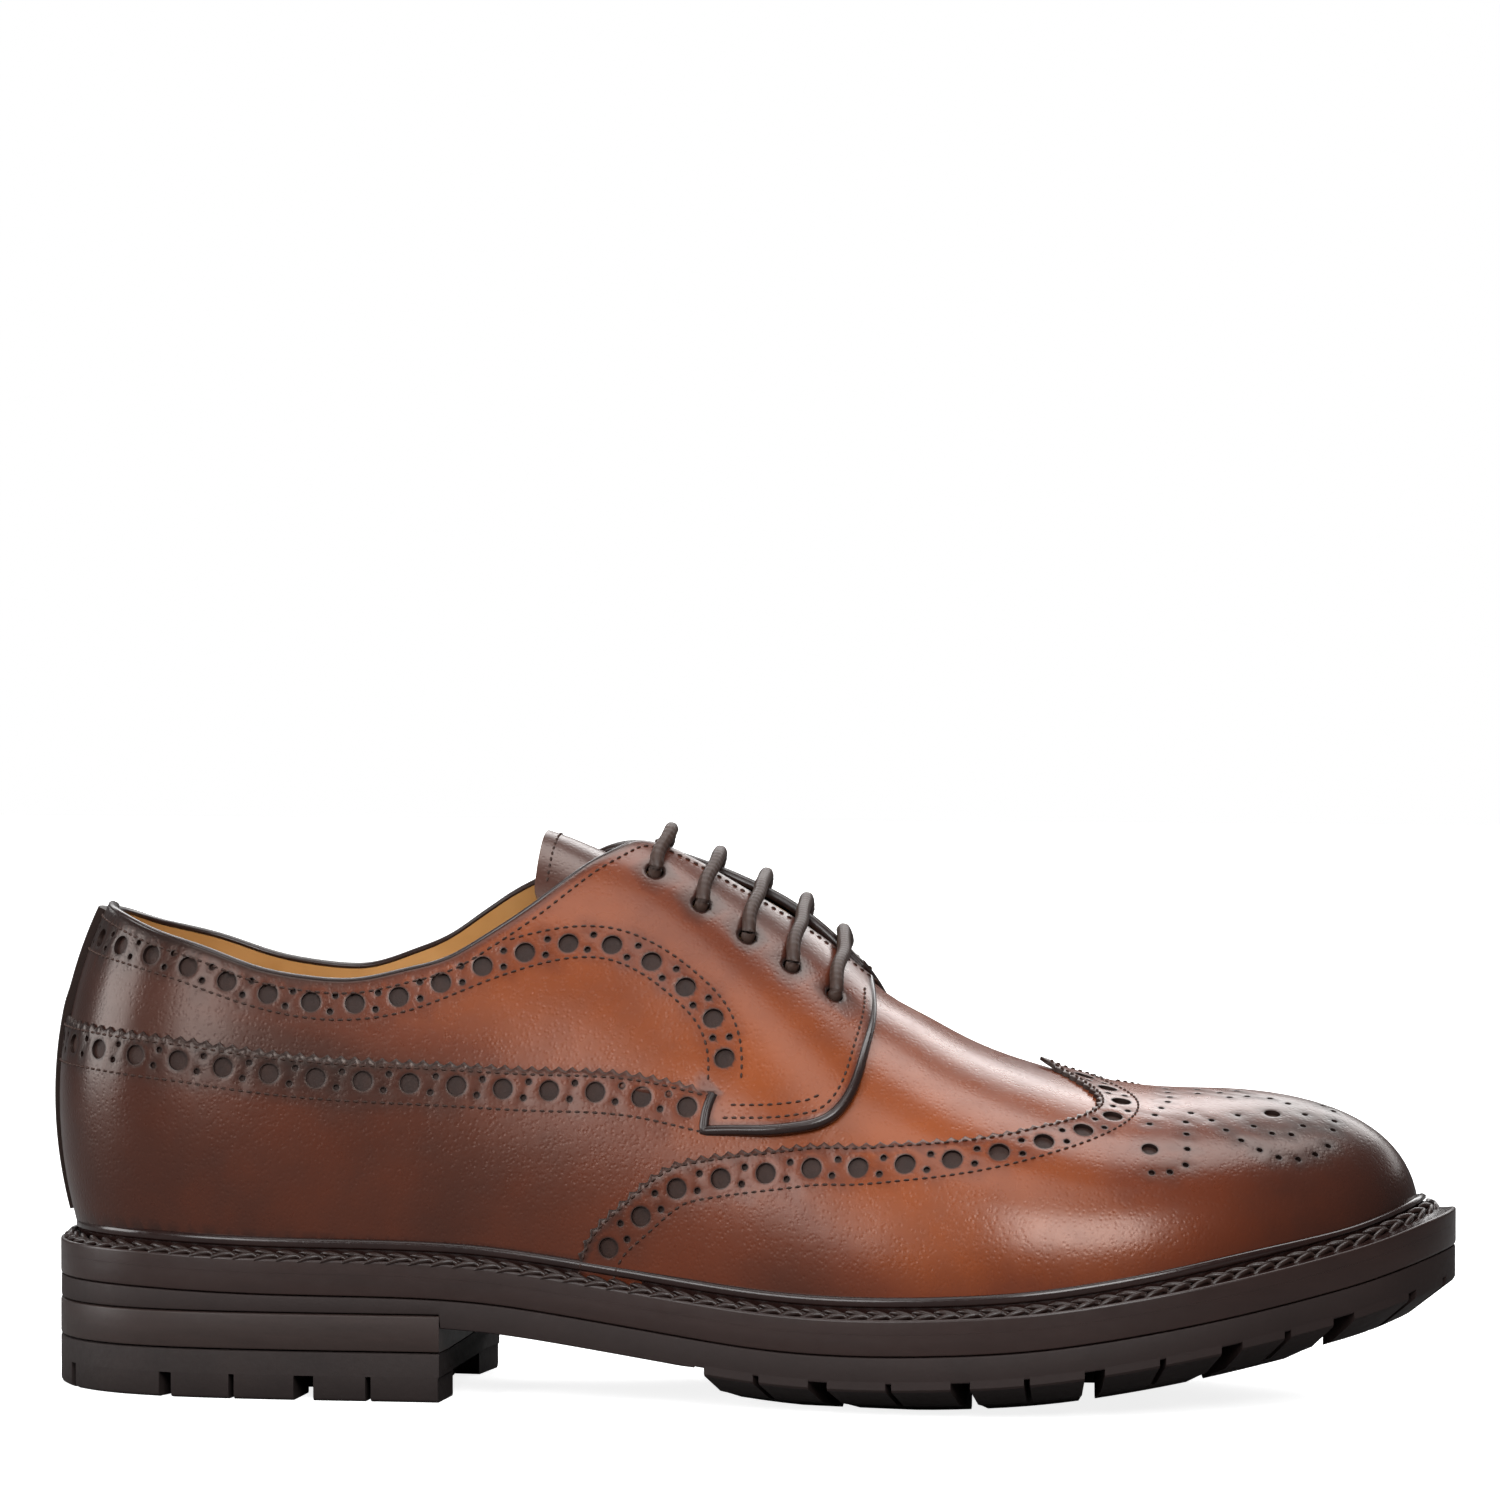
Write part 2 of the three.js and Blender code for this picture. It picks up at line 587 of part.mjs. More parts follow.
// A lug along the outsole's edge: flush band, bevel to the tread and a back wall
function edgeLug(side, from, to) {
  const steps = Math.max(1, Math.round(Math.abs(to - from) / 0.14));
  const sections = [];
  for (let i = 0; i <= steps; i++) {
    const angle = side * (from + (to - from) * i / steps);
    const at = (inset, z) => {
      const point = soleInset(angle, inset);
      return new THREE.Vector3(point.x, point.y, z(point.x));
    };
    sections.push([
      at(0.05, (x) => foreBottom(x) + 1),
      at(0.05, (x) => foreBottom(x) - sideBand),
      at(lugBevel, (x) => treadFloor(x) + treadEdgeRise),
      at(lugWidth, treadFloor),
      at(lugWidth + 1, (x) => foreBottom(x) + 1),
    ]);
  }
  return toSolid(loft(sections));
}

// A plain block lug in the middle of the tread
function centreLug(xFrom, xTo, width) {
  const middle = (xFrom + xTo) / 2;
  const y = crownShift(middle) / 2;
  const section = (x) => [
    new THREE.Vector3(x, y - width / 2, foreBottom(x) + 1), new THREE.Vector3(x, y - width / 2, treadFloor(x)),
    new THREE.Vector3(x, y + width / 2, treadFloor(x)), new THREE.Vector3(x, y + width / 2, foreBottom(x) + 1),
  ];
  return toSolid(loft([section(xFrom), section(middle), section(xTo)]));
}

function makeOutsole() {
  let rubber = toSolid(plate(solePoint, rubberTop, outsoleBottom, soleTurns));
  const marks = foreGapRows.map((share) => share * soleLength);
  for (let i = 0; i < marks.length - 1; i++) {
    for (const side of [-1, 1]) {
      rubber = rubber.add(edgeLug(side, turnAt(marks[i] + lugGap / 2), turnAt(marks[i + 1] - lugGap / 2)));
    }
  }
  const toeFrom = turnAt(marks[marks.length - 1] + lugGap / 2);
  rubber = rubber.add(edgeLug(1, toeFrom, 2 * Math.PI - toeFrom));
  for (let i = 0; i < marks.length - 2; i++) {
    const width = Math.min(centreLugWidth, 2 * (medialHalf(turnAt(marks[i])) - lugWidth) - lugGap);
    rubber = rubber.add(centreLug(marks[i] + lugGap, marks[i + 1] - lugGap, width));
  }
  return fromSolid(rubber);
}

// The heel's outline, closed straight across at the breast
function heelShape(inset) {
  const points = [];
  const end = turnAt(heelBreast);
  const steps = 14;
  for (let i = -steps; i <= steps; i++) points.push(soleInset(end * i / steps, inset));
  return new THREE.Shape(points);
}

function heelSlab(inset, bottom, top) {
  const slab = new THREE.ExtrudeGeometry(heelShape(inset), { depth: top - bottom, bevelEnabled: false });
  slab.translate(0, 0, bottom);
  return slab;
}

// A lug of the top piece along the heel's edge
function heelLug(side, from, to) {
  const steps = Math.max(1, Math.round(Math.abs(to - from) / 0.2));
  const sections = [];
  for (let i = 0; i <= steps; i++) {
    const angle = side * (from + (to - from) * i / steps);
    const at = (inset, z) => {
      const point = soleInset(angle, inset);
      return new THREE.Vector3(point.x, point.y, z);
    };
    sections.push([
      at(0.05, topPieceLug + 1), at(0.05, 1), at(1, 0), at(heelLugWidth, 0), at(heelLugWidth, topPieceLug + 1),
    ]);
  }
  return toSolid(loft(sections));
}

function makeTopPiece() {
  let piece = toSolid(heelSlab(0, topPieceLug, topPieceTop));
  const marks = heelGapRows.map((share) => turnAt(share * heelBreast));
  const half = lugGap / 2 / (heelWidth / 2);
  for (const side of [-1, 1]) {
    piece = piece.add(heelLug(side, marks[0] + half, marks[1] - half));
    piece = piece.add(heelLug(side, marks[1] + half, marks[2] - half));
    piece = piece.add(heelLug(side, marks[2] + half, turnAt(heelBreast)));
  }
  piece = piece.add(heelLug(1, -marks[0] + half, marks[0] - half));
  const pad = new THREE.BoxGeometry(heelBreast * 0.44, heelWidth * 0.34, topPieceLug + 1);
  pad.translate(heelBreast * 0.56, 0, (topPieceLug + 1) / 2);
  return fromSolid(piece.add(toSolid(pad)));
}

// The way up a section at which a surface offset from the last is at a height
function wayAtHeight(angle, offset, z) {
  let [low, high] = [0, 0.5];
  for (let i = 0; i < 24; i++) {
    const way = (low + high) / 2;
    if (onLast(angle, way, offset).z < z) low = way;
    else high = way;
  }
  return low;
}

// The storm welt: a strip round the shoe with a lip that stands against the upper
function makeWelt() {
  const gap = wingRise + clearance + 0.1;
  const sections = roundStations.map((angle) => {
    const edge = solePoint(angle);
    const top = soleTop(edge.x);
    const foot = soleInset(angle, weltShelf(angle) - gap);
    const footTop = soleTop(foot.x);
    const out = edge.clone().sub(foot).normalize();
    const at = (point, z) => new THREE.Vector3(point.x, point.y, z);
    const inner = [0.25, 0.6, 1].map((share) => {
      const z = footTop + lipHeight * share - weltThickness * (1 - share);
      return onLast(angle, wayAtHeight(angle, gap, z), gap);
    });
    const crest = inner[2];
    const lipFoot = foot.clone().addScaledVector(out, lipThickness + 0.3);
    const shoulder = at(crest.clone().addScaledVector(at(out, 0), lipThickness * 0.8), crest.z - lipThickness * 0.4);
    return [
      at(edge, top - weltThickness), at(edge, top), at(lipFoot, footTop), shoulder,
      crest, inner[1], inner[0], at(foot, footTop - weltThickness),
    ];
  });
  return loft(sections, true);
}

function makeInsole() {
  const outline = (angle) => soleInset(angle, weltShelf(angle) + upperWall + clearance + 0.1);
  const bottom = (x) => soleTop(x) - weltThickness;
  return plate(outline, (x) => bottom(x) + insoleThickness, bottom, stations);
}

// The tongue: one leaf that follows the last under the facings
function makeTongue() {
  const crest = spline(lengths(tongueRows.map((row) => row[0])), tongueRows.map((row) => row[1]));
  const under = upperWall + clearance + tongueSlack;
  const from = crownTurn(tongueEnds.top * soleLength);
  const to = crownTurn(tongueEnds.front * soleLength);
  const across = 6;
  const along = 14;
  const leafPoint = (side, turn, share, depth) => {
    const width = tongueHalfWidth * (1 - (1 - tongueTaper) * (turn - from) / (to - from));
    let [low, high] = [tongueLowest, 1];
    for (let i = 0; i < 24; i++) {
      const way = (low + high) / 2;
      if (Math.abs(lastPoint(side * turn, way).y - crownShift(crownX(turn))) > width) low = way;
      else high = way;
    }
    const way = 1 - (1 - low) * share;
    const point = onLast(side * turn, way, -under - depth);
    const spare = Math.max(0, crownHeight(crownX(turn)) - under - crest(crownX(turn)) * instepHeight);
    const rise = (lastPoint(side * turn, way).z - soleTop(point.x)) / (crownHeight(point.x) - soleTop(point.x));
    point.z -= spare * Math.min(1, rise) ** 4;
    return point;
  };
  const sections = [];
  for (let i = 0; i <= along; i++) {
    const turn = from + (to - from) * i / along;
    const top = [];
    const bottom = [];
    for (let j = -across; j <= across; j++) {
      const side = j < 0 ? -1 : 1;
      top.push(leafPoint(side, turn, Math.abs(j) / across, 0));
      bottom.push(leafPoint(side, turn, Math.abs(j) / across, tongueThickness));
    }
    sections.push([top, bottom]);
  }
  const body = new Body();
  const count = 2 * across;
  for (let i = 0; i < along; i++) {
    const [[top, bottom], [nextTop, nextBottom]] = [sections[i], sections[i + 1]];
    for (let j = 0; j < count; j++) {
      body.quad(top[j], nextTop[j], nextTop[j + 1], top[j + 1]);
      body.quad(bottom[j], bottom[j + 1], nextBottom[j + 1], nextBottom[j]);
    }
    body.quad(top[0], bottom[0], nextBottom[0], nextTop[0]);
    body.quad(top[count], nextTop[count], nextBottom[count], bottom[count]);
  }
  for (let j = 0; j < count; j++) {
    const [[top, bottom], [endTop, endBottom]] = [sections[0], sections[along]];
    body.quad(top[j], top[j + 1], bottom[j + 1], bottom[j]);
    body.quad(endTop[j], endBottom[j], endBottom[j + 1], endTop[j + 1]);
  }
  return body.geometry();
}

// One straight bar of the lace, from over one eyelet across the throat to over the other
function makeLaceBar({ lateral, medial }) {
  const over = clearance + laceDiameter / 2 + 0.1;
  const points = [];
  const halfWay = (place, share) => {
    const way = place.way + (topWay(place.angle) - place.way) * share;
    return onLast(place.angle, way, over + Math.max(0, tabOuter(place.angle, way)));
  };
  for (const share of [0, 0.5, 1]) points.push(halfWay(lateral, share));
  for (const share of [1, 0.5, 0]) points.push(halfWay(medial, share));
  const middle = points[2].clone().add(points[3]).multiplyScalar(0.5);
  middle.z += laceDiameter * 0.25;
  points.splice(3, 0, middle);
  const circle = new THREE.Shape();
  circle.absarc(0, 0, laceDiameter / 2, 0, 2 * Math.PI);
  const path = new THREE.CatmullRomCurve3(points);
  return new THREE.ExtrudeGeometry(circle, { steps: 12, curveSegments: 4, extrudePath: path });
}

const finishes = {
  calf: { color: 0x7a4027, roughness: 0.38, metalness: 0 },
  tongueCalf: { color: 0x5d3324, roughness: 0.42, metalness: 0 },
  edge: { color: 0x352426, roughness: 0.4, metalness: 0 },
  rubber: { color: 0x2f2120, roughness: 0.75, metalness: 0 },
  lace: { color: 0x3a2620, roughness: 0.6, metalness: 0 },
  lining: { color: 0xb98645, roughness: 0.6, metalness: 0 },
};

const shoe = new THREE.Group();

function addPart(name, geometry, finish) {
  const mesh = new THREE.Mesh(geometry, new THREE.MeshStandardMaterial(finishes[finish]));
  mesh.name = name;
  shoe.add(mesh);
}

addPart('outsole', makeOutsole(), 'rubber');
addPart('heel_lift', heelSlab(0, topPieceTop + clearance, liftTop), 'edge');
addPart('heel_top_piece', makeTopPiece(), 'rubber');
addPart('midsole', plate(solePoint, midsoleTop, (x) => midsoleTop(x) - midsoleThickness, stations), 'edge');
addPart('welt', makeWelt(), 'edge');
addPart('insole', makeInsole(), 'lining');
addPart('upper', makeUpper(), 'calf');
addPart('tongue', makeTongue(), 'tongueCalf');
eyelets.forEach((pair, i) => addPart(`lace_bar_${i + 1}`, makeLaceBar(pair), 'lace'));

shoe.position.x = -heelBreast / 2;

export default shoe;
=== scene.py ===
import math

import bmesh
import bpy
import numpy as np
from mathutils import Matrix, Vector, kdtree
from mathutils.geometry import delaunay_2d_cdt


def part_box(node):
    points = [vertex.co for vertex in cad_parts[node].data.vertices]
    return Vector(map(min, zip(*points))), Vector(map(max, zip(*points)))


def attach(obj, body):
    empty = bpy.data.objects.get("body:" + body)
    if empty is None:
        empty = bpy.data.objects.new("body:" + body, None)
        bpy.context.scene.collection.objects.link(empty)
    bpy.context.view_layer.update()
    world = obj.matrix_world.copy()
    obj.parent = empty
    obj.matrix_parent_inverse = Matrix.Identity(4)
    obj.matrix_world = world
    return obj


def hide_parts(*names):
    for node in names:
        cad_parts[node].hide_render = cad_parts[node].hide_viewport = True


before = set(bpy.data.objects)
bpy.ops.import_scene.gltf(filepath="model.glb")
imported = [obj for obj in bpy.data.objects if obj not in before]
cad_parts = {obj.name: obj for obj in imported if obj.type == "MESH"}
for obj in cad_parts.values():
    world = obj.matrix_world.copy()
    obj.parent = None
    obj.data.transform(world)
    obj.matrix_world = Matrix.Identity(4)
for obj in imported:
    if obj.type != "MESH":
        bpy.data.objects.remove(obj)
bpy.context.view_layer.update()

# The shoe is laid out in millimetres from the back of the heel, then moved into the frame
soleLow, soleHigh = (np.array(corner) * 1000 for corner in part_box("outsole"))
heelBack = float(soleLow[0])
soleLength = float(soleHigh[0] - soleLow[0])
pi = math.pi


def inFrame(points):
    return (np.asarray(points, float) + np.array([heelBack, 0.0, 0.0])) / 1000


# Camera
cameraPlan = {"turn": 9.0, "aim": (154.0, 0.0, 140.0), "back": 1600.0, "above": 50.0, "lens": 175.8}


def setCamera():
    turn = math.radians(cameraPlan["turn"])
    reach = math.hypot(cameraPlan["back"], cameraPlan["above"])
    drop = cameraPlan["above"] / reach
    level = cameraPlan["back"] / reach
    ahead = np.array([-math.sin(turn) * level, math.cos(turn) * level, -drop])
    eye = inFrame(np.array(cameraPlan["aim"]) - ahead * reach)
    camera = bpy.data.objects.new("camera", bpy.data.cameras.new("camera"))
    camera.data.lens = cameraPlan["lens"]
    camera.data.clip_start, camera.data.clip_end = 0.05, 20
    camera.location = eye
    camera.rotation_euler = Vector(ahead).to_track_quat("-Z", "Y").to_euler()
    bpy.context.scene.collection.objects.link(camera)
    bpy.context.scene.camera = camera


setCamera()
print("camera set")


# The last: the same form as the solids, from shares of named sizes
form = {
    "heelWidth": 72, "waistWidth": 68, "ballWidth": 109, "heelSeatHeight": 32, "quarterHeight": 91,
    "medialLift": 2.8, "medialAhead": 8.5, "instepHeight": 122, "toeBoxHeight": 65.2, "weltThickness": 3,
    "throatGap": 13,
    "toeTipShare": 0.018,
    "outline": [  # along, width, lateral share, medial share
        (0.065, "heelWidth", 0.43, 0.43), (0.13, "heelWidth", 0.5, 0.493), (0.195, "heelWidth", 0.514, 0.486),
        (0.26, "heelWidth", 0.514, 0.458), (0.325, "waistWidth", 0.551, 0.456), (0.39, "waistWidth", 0.581, 0.456),
        (0.455, "waistWidth", 0.632, 0.5), (0.52, "ballWidth", 0.436, 0.358), (0.585, "ballWidth", 0.477, 0.413),
        (0.65, "ballWidth", 0.505, 0.459), (0.71, "ballWidth", 0.514, 0.483), (0.78, "ballWidth", 0.488, 0.47),
        (0.845, "ballWidth", 0.425, 0.408), (0.91, "ballWidth", 0.318, 0.315), (0.955, "ballWidth", 0.226, 0.234),
        (0.985, "ballWidth", 0.125, 0.14),
    ],
    "soleTop": [
        (0, 1), (0.065, 0.99), (0.12, 0.972), (0.19, 0.957), (0.26, 0.952), (0.327, 0.925), (0.396, 0.847),
        (0.466, 0.757), (0.525, 0.692), (0.594, 0.666), (0.66, 0.685), (0.727, 0.735), (0.79, 0.822),
        (0.854, 0.934), (0.917, 1.066), (0.948, 1.143), (0.979, 1.24), (1, 1.31),
    ],
    "weltShelf": [
        (0, 0.0587), (0.25, 0.0459), (0.4, 0.0477), (0.55, 0.0569), (0.7, 0.0642), (0.85, 0.0752), (1, 0.0862),
    ],
    "crown": [
        (0.114, "instepHeight", 1.107), (0.211, "instepHeight", 1.08), (0.292, "instepHeight", 1.054),
        (0.351, "instepHeight", 1.03), (0.39, "instepHeight", 1.016), (0.416, "instepHeight", 1.0),
        (0.445, "instepHeight", 0.969), (0.488, "instepHeight", 0.903), (0.517, "instepHeight", 0.859),
        (0.546, "instepHeight", 0.81), (0.575, "instepHeight", 0.75), (0.591, "instepHeight", 0.715),
        (0.62, "instepHeight", 0.673), (0.648, "instepHeight", 0.635), (0.677, "instepHeight", 0.604),
        (0.72, "toeBoxHeight", 1.068), (0.748, "toeBoxHeight", 1.031), (0.775, "toeBoxHeight", 1.009),
        (0.802, "toeBoxHeight", 1.002), (0.83, "toeBoxHeight", 1),
    ],
    "crownShift": [
        (0.114, 0.009), (0.292, 0.028), (0.422, 0.055), (0.584, 0.055), (0.692, 0.064), (0.779, 0.101), (0.83, 0.11),
    ],
    "section": [  # share, bulge, low handle, top handle
        (0, 0.78, 0.58, 0.2), (0.03, 0.52, 0.58, 0.42), (0.08, 0.34, 0.56, 0.62), (0.15, 0.26, 0.52, 0.68),
        (0.25, 0.18, 0.48, 0.68), (0.35, 0.16, 0.47, 0.66), (0.45, 0.14, 0.5, 0.66), (0.55, 0.12, 0.5, 0.64),
        (0.65, 0.1, 0.55, 0.66), (0.75, 0.09, 0.62, 0.68), (0.85, 0.08, 0.7, 0.66), (0.93, 0.08, 0.8, 0.52),
        (1, 0.08, 0.89, 0.37),
    ],
    "topline": [
        (-0.02, "quarterHeight", 1.19), (0.042, "quarterHeight", 1.154), (0.084, "quarterHeight", 1.106),
        (0.124, "quarterHeight", 1.067), (0.162, "quarterHeight", 1.023), (0.198, "quarterHeight", 1.001),
        (0.235, "quarterHeight", 0.997), (0.27, "quarterHeight", 1.022), (0.299, "quarterHeight", 1.051),
        (0.32, "instepHeight", 0.815), (0.339, "instepHeight", 0.847), (0.358, "instepHeight", 0.882),
        (0.376, "instepHeight", 0.919), (0.393, "instepHeight", 0.95), (0.405, "instepHeight", 0.966),
        (0.42, "instepHeight", 0.984), (0.437, "instepHeight", 0.998), (0.46, "instepHeight", 1.05),
        (0.6, "instepHeight", 1.5),
    ],
    "topYawn": 0.36,
    "throat": [(0.36, 0.5), (0.42, 1), (0.47, 1), (0.55, 0.8), (0.575, 0.55), (0.586, 0.25), (0.592, 0)],
}


def naturalSpline(xs, ys):
    xs, ys = np.array(xs, float), np.array(ys, float)
    n = len(xs)
    system, right = np.eye(n), np.zeros(n)
    for i in range(1, n - 1):
        before, after = xs[i] - xs[i - 1], xs[i + 1] - xs[i]
        system[i, i - 1:i + 2] = before, 2 * (before + after), after
        right[i] = 6 * ((ys[i + 1] - ys[i]) / after - (ys[i] - ys[i - 1]) / before)
    bend = np.linalg.solve(system, right)

    def value(x):
        x = np.clip(np.asarray(x, float), xs[0], xs[-1])
        i = np.clip(np.searchsorted(xs, x) - 1, 0, n - 2)
        h = xs[i + 1] - xs[i]
        a, b = (xs[i + 1] - x) / h, (x - xs[i]) / h
        return a * ys[i] + b * ys[i + 1] + ((a ** 3 - a) * bend[i] + (b ** 3 - b) * bend[i + 1]) * h * h / 6

    return value


def smooth(x, low, high):
    t = np.clip((x - low) / (high - low), 0, 1)
    return t * t * (3 - 2 * t)


def columns(name):
    return list(zip(*form[name]))


def sized(name):
    along, heights, shares = columns(name)
    return naturalSpline(np.array(along) * soleLength, [form[h] * s for h, s in zip(heights, shares)])


def angleOf(share):
    return np.arccos(1 - 2 * np.clip(share, 0, 1))


def shareOf(angle):
    return (1 - np.cos(angle)) / 2


outlineAlong, outlineWidth, outlineLateral, outlineMedial = columns("outline")
outlineAngles = [0, *angleOf(np.array(outlineAlong)), pi]
toeTip = form["toeTipShare"] * form["ballWidth"]
lateralHalf = naturalSpline(outlineAngles, [0, *[form[w] * s for w, s in zip(outlineWidth, outlineLateral)], -toeTip])
medialHalf = naturalSpline(outlineAngles, [0, *[form[w] * s for w, s in zip(outlineWidth, outlineMedial)], toeTip])
soleTopShare = naturalSpline(np.array(columns("soleTop")[0]) * soleLength, columns("soleTop")[1])
shelfShare = naturalSpline(*columns("weltShelf"))
crownHeight = sized("crown")
crownShiftShare = naturalSpline(np.array(columns("crownShift")[0]) * soleLength, columns("crownShift")[1])
crownBack, crownFront = form["crown"][0][0] * soleLength, form["crown"][-1][0] * soleLength
sectionAngles = angleOf(np.array(columns("section")[0]))
bulgeAt, lowAt, topAt = (naturalSpline(sectionAngles, column) for column in columns("section")[1:])
toplineHeight = sized("topline")
throatShare = naturalSpline(np.array(columns("throat")[0]) * soleLength, columns("throat")[1])
throatFront = form["throat"][-1][0] * soleLength
probe = 1e-3


def soleTop(x):
    return form["heelSeatHeight"] * soleTopShare(x)


def crownShift(x):
    return form["ballWidth"] * crownShiftShare(x)


def wrapped(angle):
    return (np.asarray(angle, float) + pi) % (2 * pi) - pi


def solePoint(angle):
    a = wrapped(angle)
    turn = np.abs(a)
    return np.stack([shareOf(turn) * soleLength, np.where(a < 0, -lateralHalf(turn), medialHalf(turn))], -1)


def soleInset(angle, inset):  # the sole's outline moved inwards
    d = solePoint(np.asarray(angle) + probe) - solePoint(np.asarray(angle) - probe)
    d = d / np.linalg.norm(d, axis=-1, keepdims=True)
    return solePoint(angle) + np.stack([d[..., 1], -d[..., 0]], -1) * np.asarray(inset)[..., None]


def weltShelf(angle):
    return form["ballWidth"] * shelfShare(shareOf(wrapped(angle)))


def crownX(turn):
    return crownBack + (crownFront - crownBack) * shareOf(turn)


def crownTurn(x):
    return angleOf((np.asarray(x) - crownBack) / (crownFront - crownBack))


def lastPoint(angle, way):  # angle round the foot, way from the feather line (0) to the crown (1)
    angle, way = np.broadcast_arrays(np.asarray(angle, float), np.asarray(way, float))
    turn = np.abs(wrapped(angle))
    rest = 1 - way
    reach = rest ** 3 + 3 * rest ** 2 * way * (1 + bulgeAt(turn)) + 3 * rest * way ** 2 * topAt(turn)
    rise = 3 * rest ** 2 * way * lowAt(turn) + 3 * rest * way ** 2 + way ** 3
    foot = soleInset(angle, weltShelf(angle))
    ridge = crownX(turn)
    x = ridge + (foot[..., 0] - ridge) * reach
    y = crownShift(ridge) + (foot[..., 1] - crownShift(ridge)) * reach
    base = soleTop(foot[..., 0]) - form["weltThickness"]
    return np.stack([x, y, base + (crownHeight(x) - base) * rise], -1)


def lastSlopes(angle, way):
    around = (lastPoint(angle + probe, way) - lastPoint(angle - probe, way)) / (2 * probe)
    low, high = np.clip(way - probe, 0, 1), np.clip(way + probe, 0, 1)
    up = (lastPoint(angle, high) - lastPoint(angle, low)) / (high - low)[..., None]
    return around, up


def lastNormal(angle, way):
    angle, way = np.broadcast_arrays(np.asarray(angle, float), np.asarray(way, float))
    around, up = lastSlopes(angle, way)
    n = np.cross(up, around)
    x = crownX(np.abs(wrapped(angle)))
    slope = (crownHeight(x + probe) - crownHeight(x - probe)) / (2 * probe)
    ridge = np.stack([-slope, np.zeros_like(slope), np.ones_like(slope)], -1)
    tucked = (way > 0.5) & (np.abs(wrapped(angle)) > 2.4) & (n[..., 2] < 0)
    n = np.where(tucked[..., None], -n, n)
    n = np.where((way > 1 - 2 * probe)[..., None], ridge, n)
    return n / np.linalg.norm(n, axis=-1, keepdims=True)


def onLast(angle, way, offset):
    return lastPoint(angle, way) + lastNormal(angle, way) * np.asarray(offset, float)[..., None]


def moved(angle, way, step):  # a place on the last after a step in space along its surface
    around, up = lastSlopes(angle, way)
    aa, uu, au = (around * around).sum(-1), (up * up).sum(-1), (around * up).sum(-1)
    ra, ru = (around * step).sum(-1), (up * step).sum(-1)
    det = np.maximum(aa * uu - au * au, 1e-6)
    return angle + (ra * uu - ru * au) / det, way + (ru * aa - ra * au) / det


def leatherEnd(angle):  # the way at which the upper ends: at the collar, at the throat, or 1
    def margin(way):
        p = lastPoint(angle, way)
        inner = np.where(wrapped(angle) > 0, smooth(p[..., 0] / soleLength, 0, 0.06), 0)
        ahead = form["medialAhead"] * inner * (1 - smooth(p[..., 0] / soleLength, 0.31, 0.4))
        lift = form["medialLift"] * inner * smooth(p[..., 0] / soleLength, 0.2, 0.3)
        under = toplineHeight(p[..., 0] + ahead) + lift - p[..., 2]
        half = form["throatGap"] / 2 * throatShare(p[..., 0])
        beside = np.abs(p[..., 1] - crownShift(p[..., 0])) - half
        beside = np.where(p[..., 0] < form["topYawn"] * soleLength, 60, beside)
        soft = 5.0  # the corner of the facing is round
        mix = np.clip(0.5 + 0.5 * (beside - under) / soft, 0, 1)
        return under * mix + beside * (1 - mix) - soft * mix * (1 - mix)

    angle = np.asarray(angle, float)
    low, high = np.full_like(angle, 0.2), np.full_like(angle, 1.0)
    open_ = np.zeros_like(angle, bool)
    for way in np.linspace(0.2, 1, 81):
        bad = (margin(np.full_like(angle, way)) < 0) & ~open_
        high = np.where(bad, way, high)
        open_ |= bad
        low = np.where(open_, low, way)
    for _ in range(22):
        middle = (low + high) / 2
        bad = margin(middle) < 0
        high, low = np.where(bad, middle, high), np.where(bad, low, middle)
    return np.where(crownX(np.abs(wrapped(angle))) >= throatFront, 1.0, low)


def angleAt(side, along, way):  # the angle at which a line of constant way passes a length
    along, way = np.broadcast_arrays(np.asarray(along, float), np.asarray(way, float))
    low, high = np.zeros_like(along), np.full_like(along, pi)
    for _ in range(34):
        middle = (low + high) / 2
        short = lastPoint(side * middle, way)[..., 0] < along * soleLength
        low, high = np.where(short, middle, low), np.where(short, high, middle)
    return (low + high) / 2


# Lines on the last: arrays of turn (0 heel, pi toe) and way, at an even spacing
def evened(turn, way, spacing, side=-1):
    p = lastPoint(side * turn, way)
    length = np.concatenate([[0], np.cumsum(np.linalg.norm(np.diff(p, axis=0), axis=1))])
    count = max(2, int(round(length[-1] / spacing)) + 1)
    at = np.linspace(0, length[-1], count)
    return np.stack([np.interp(at, length, turn), np.interp(at, length, way)], -1)


def lineOnLast(rows, spacing, side=-1):  # rows of along and way shares, joined by a smooth curve
    rows = np.array(rows, float)
    chord = np.linalg.norm(np.diff(rows * np.array([soleLength, 90.0]), axis=0), axis=1)
    at = np.concatenate([[0], np.cumsum(chord)])
    fine = np.linspace(0, at[-1], max(40, int(at[-1] / 0.6)))
    if len(rows) > 2:
        along, way = naturalSpline(at, rows[:, 0])(fine), naturalSpline(at, rows[:, 1])(fine)
    else:
        along, way = np.interp(fine, at, rows[:, 0]), np.interp(fine, at, rows[:, 1])
    way = np.clip(way, 0, 1)
    return evened(angleAt(side, along, way), way, spacing, side)


def besideLine(line, distance, side=-1):  # each point moved across the line, up for a line that runs forwards
    turn, way = line[:, 0].copy(), line[:, 1].copy()
    distance = np.broadcast_to(np.asarray(distance, float), turn.shape)
    for _ in range(3):
        p = lastPoint(side * line[:, 0], line[:, 1])
        t = np.gradient(p, axis=0)
        t /= np.linalg.norm(t, axis=1, keepdims=True)
        across = -side * np.cross(lastNormal(side * turn, way), t)
        a, way = moved(side * turn, way, across * (distance / 3)[:, None])
        turn = a * side
    return np.stack([turn, way], -1)


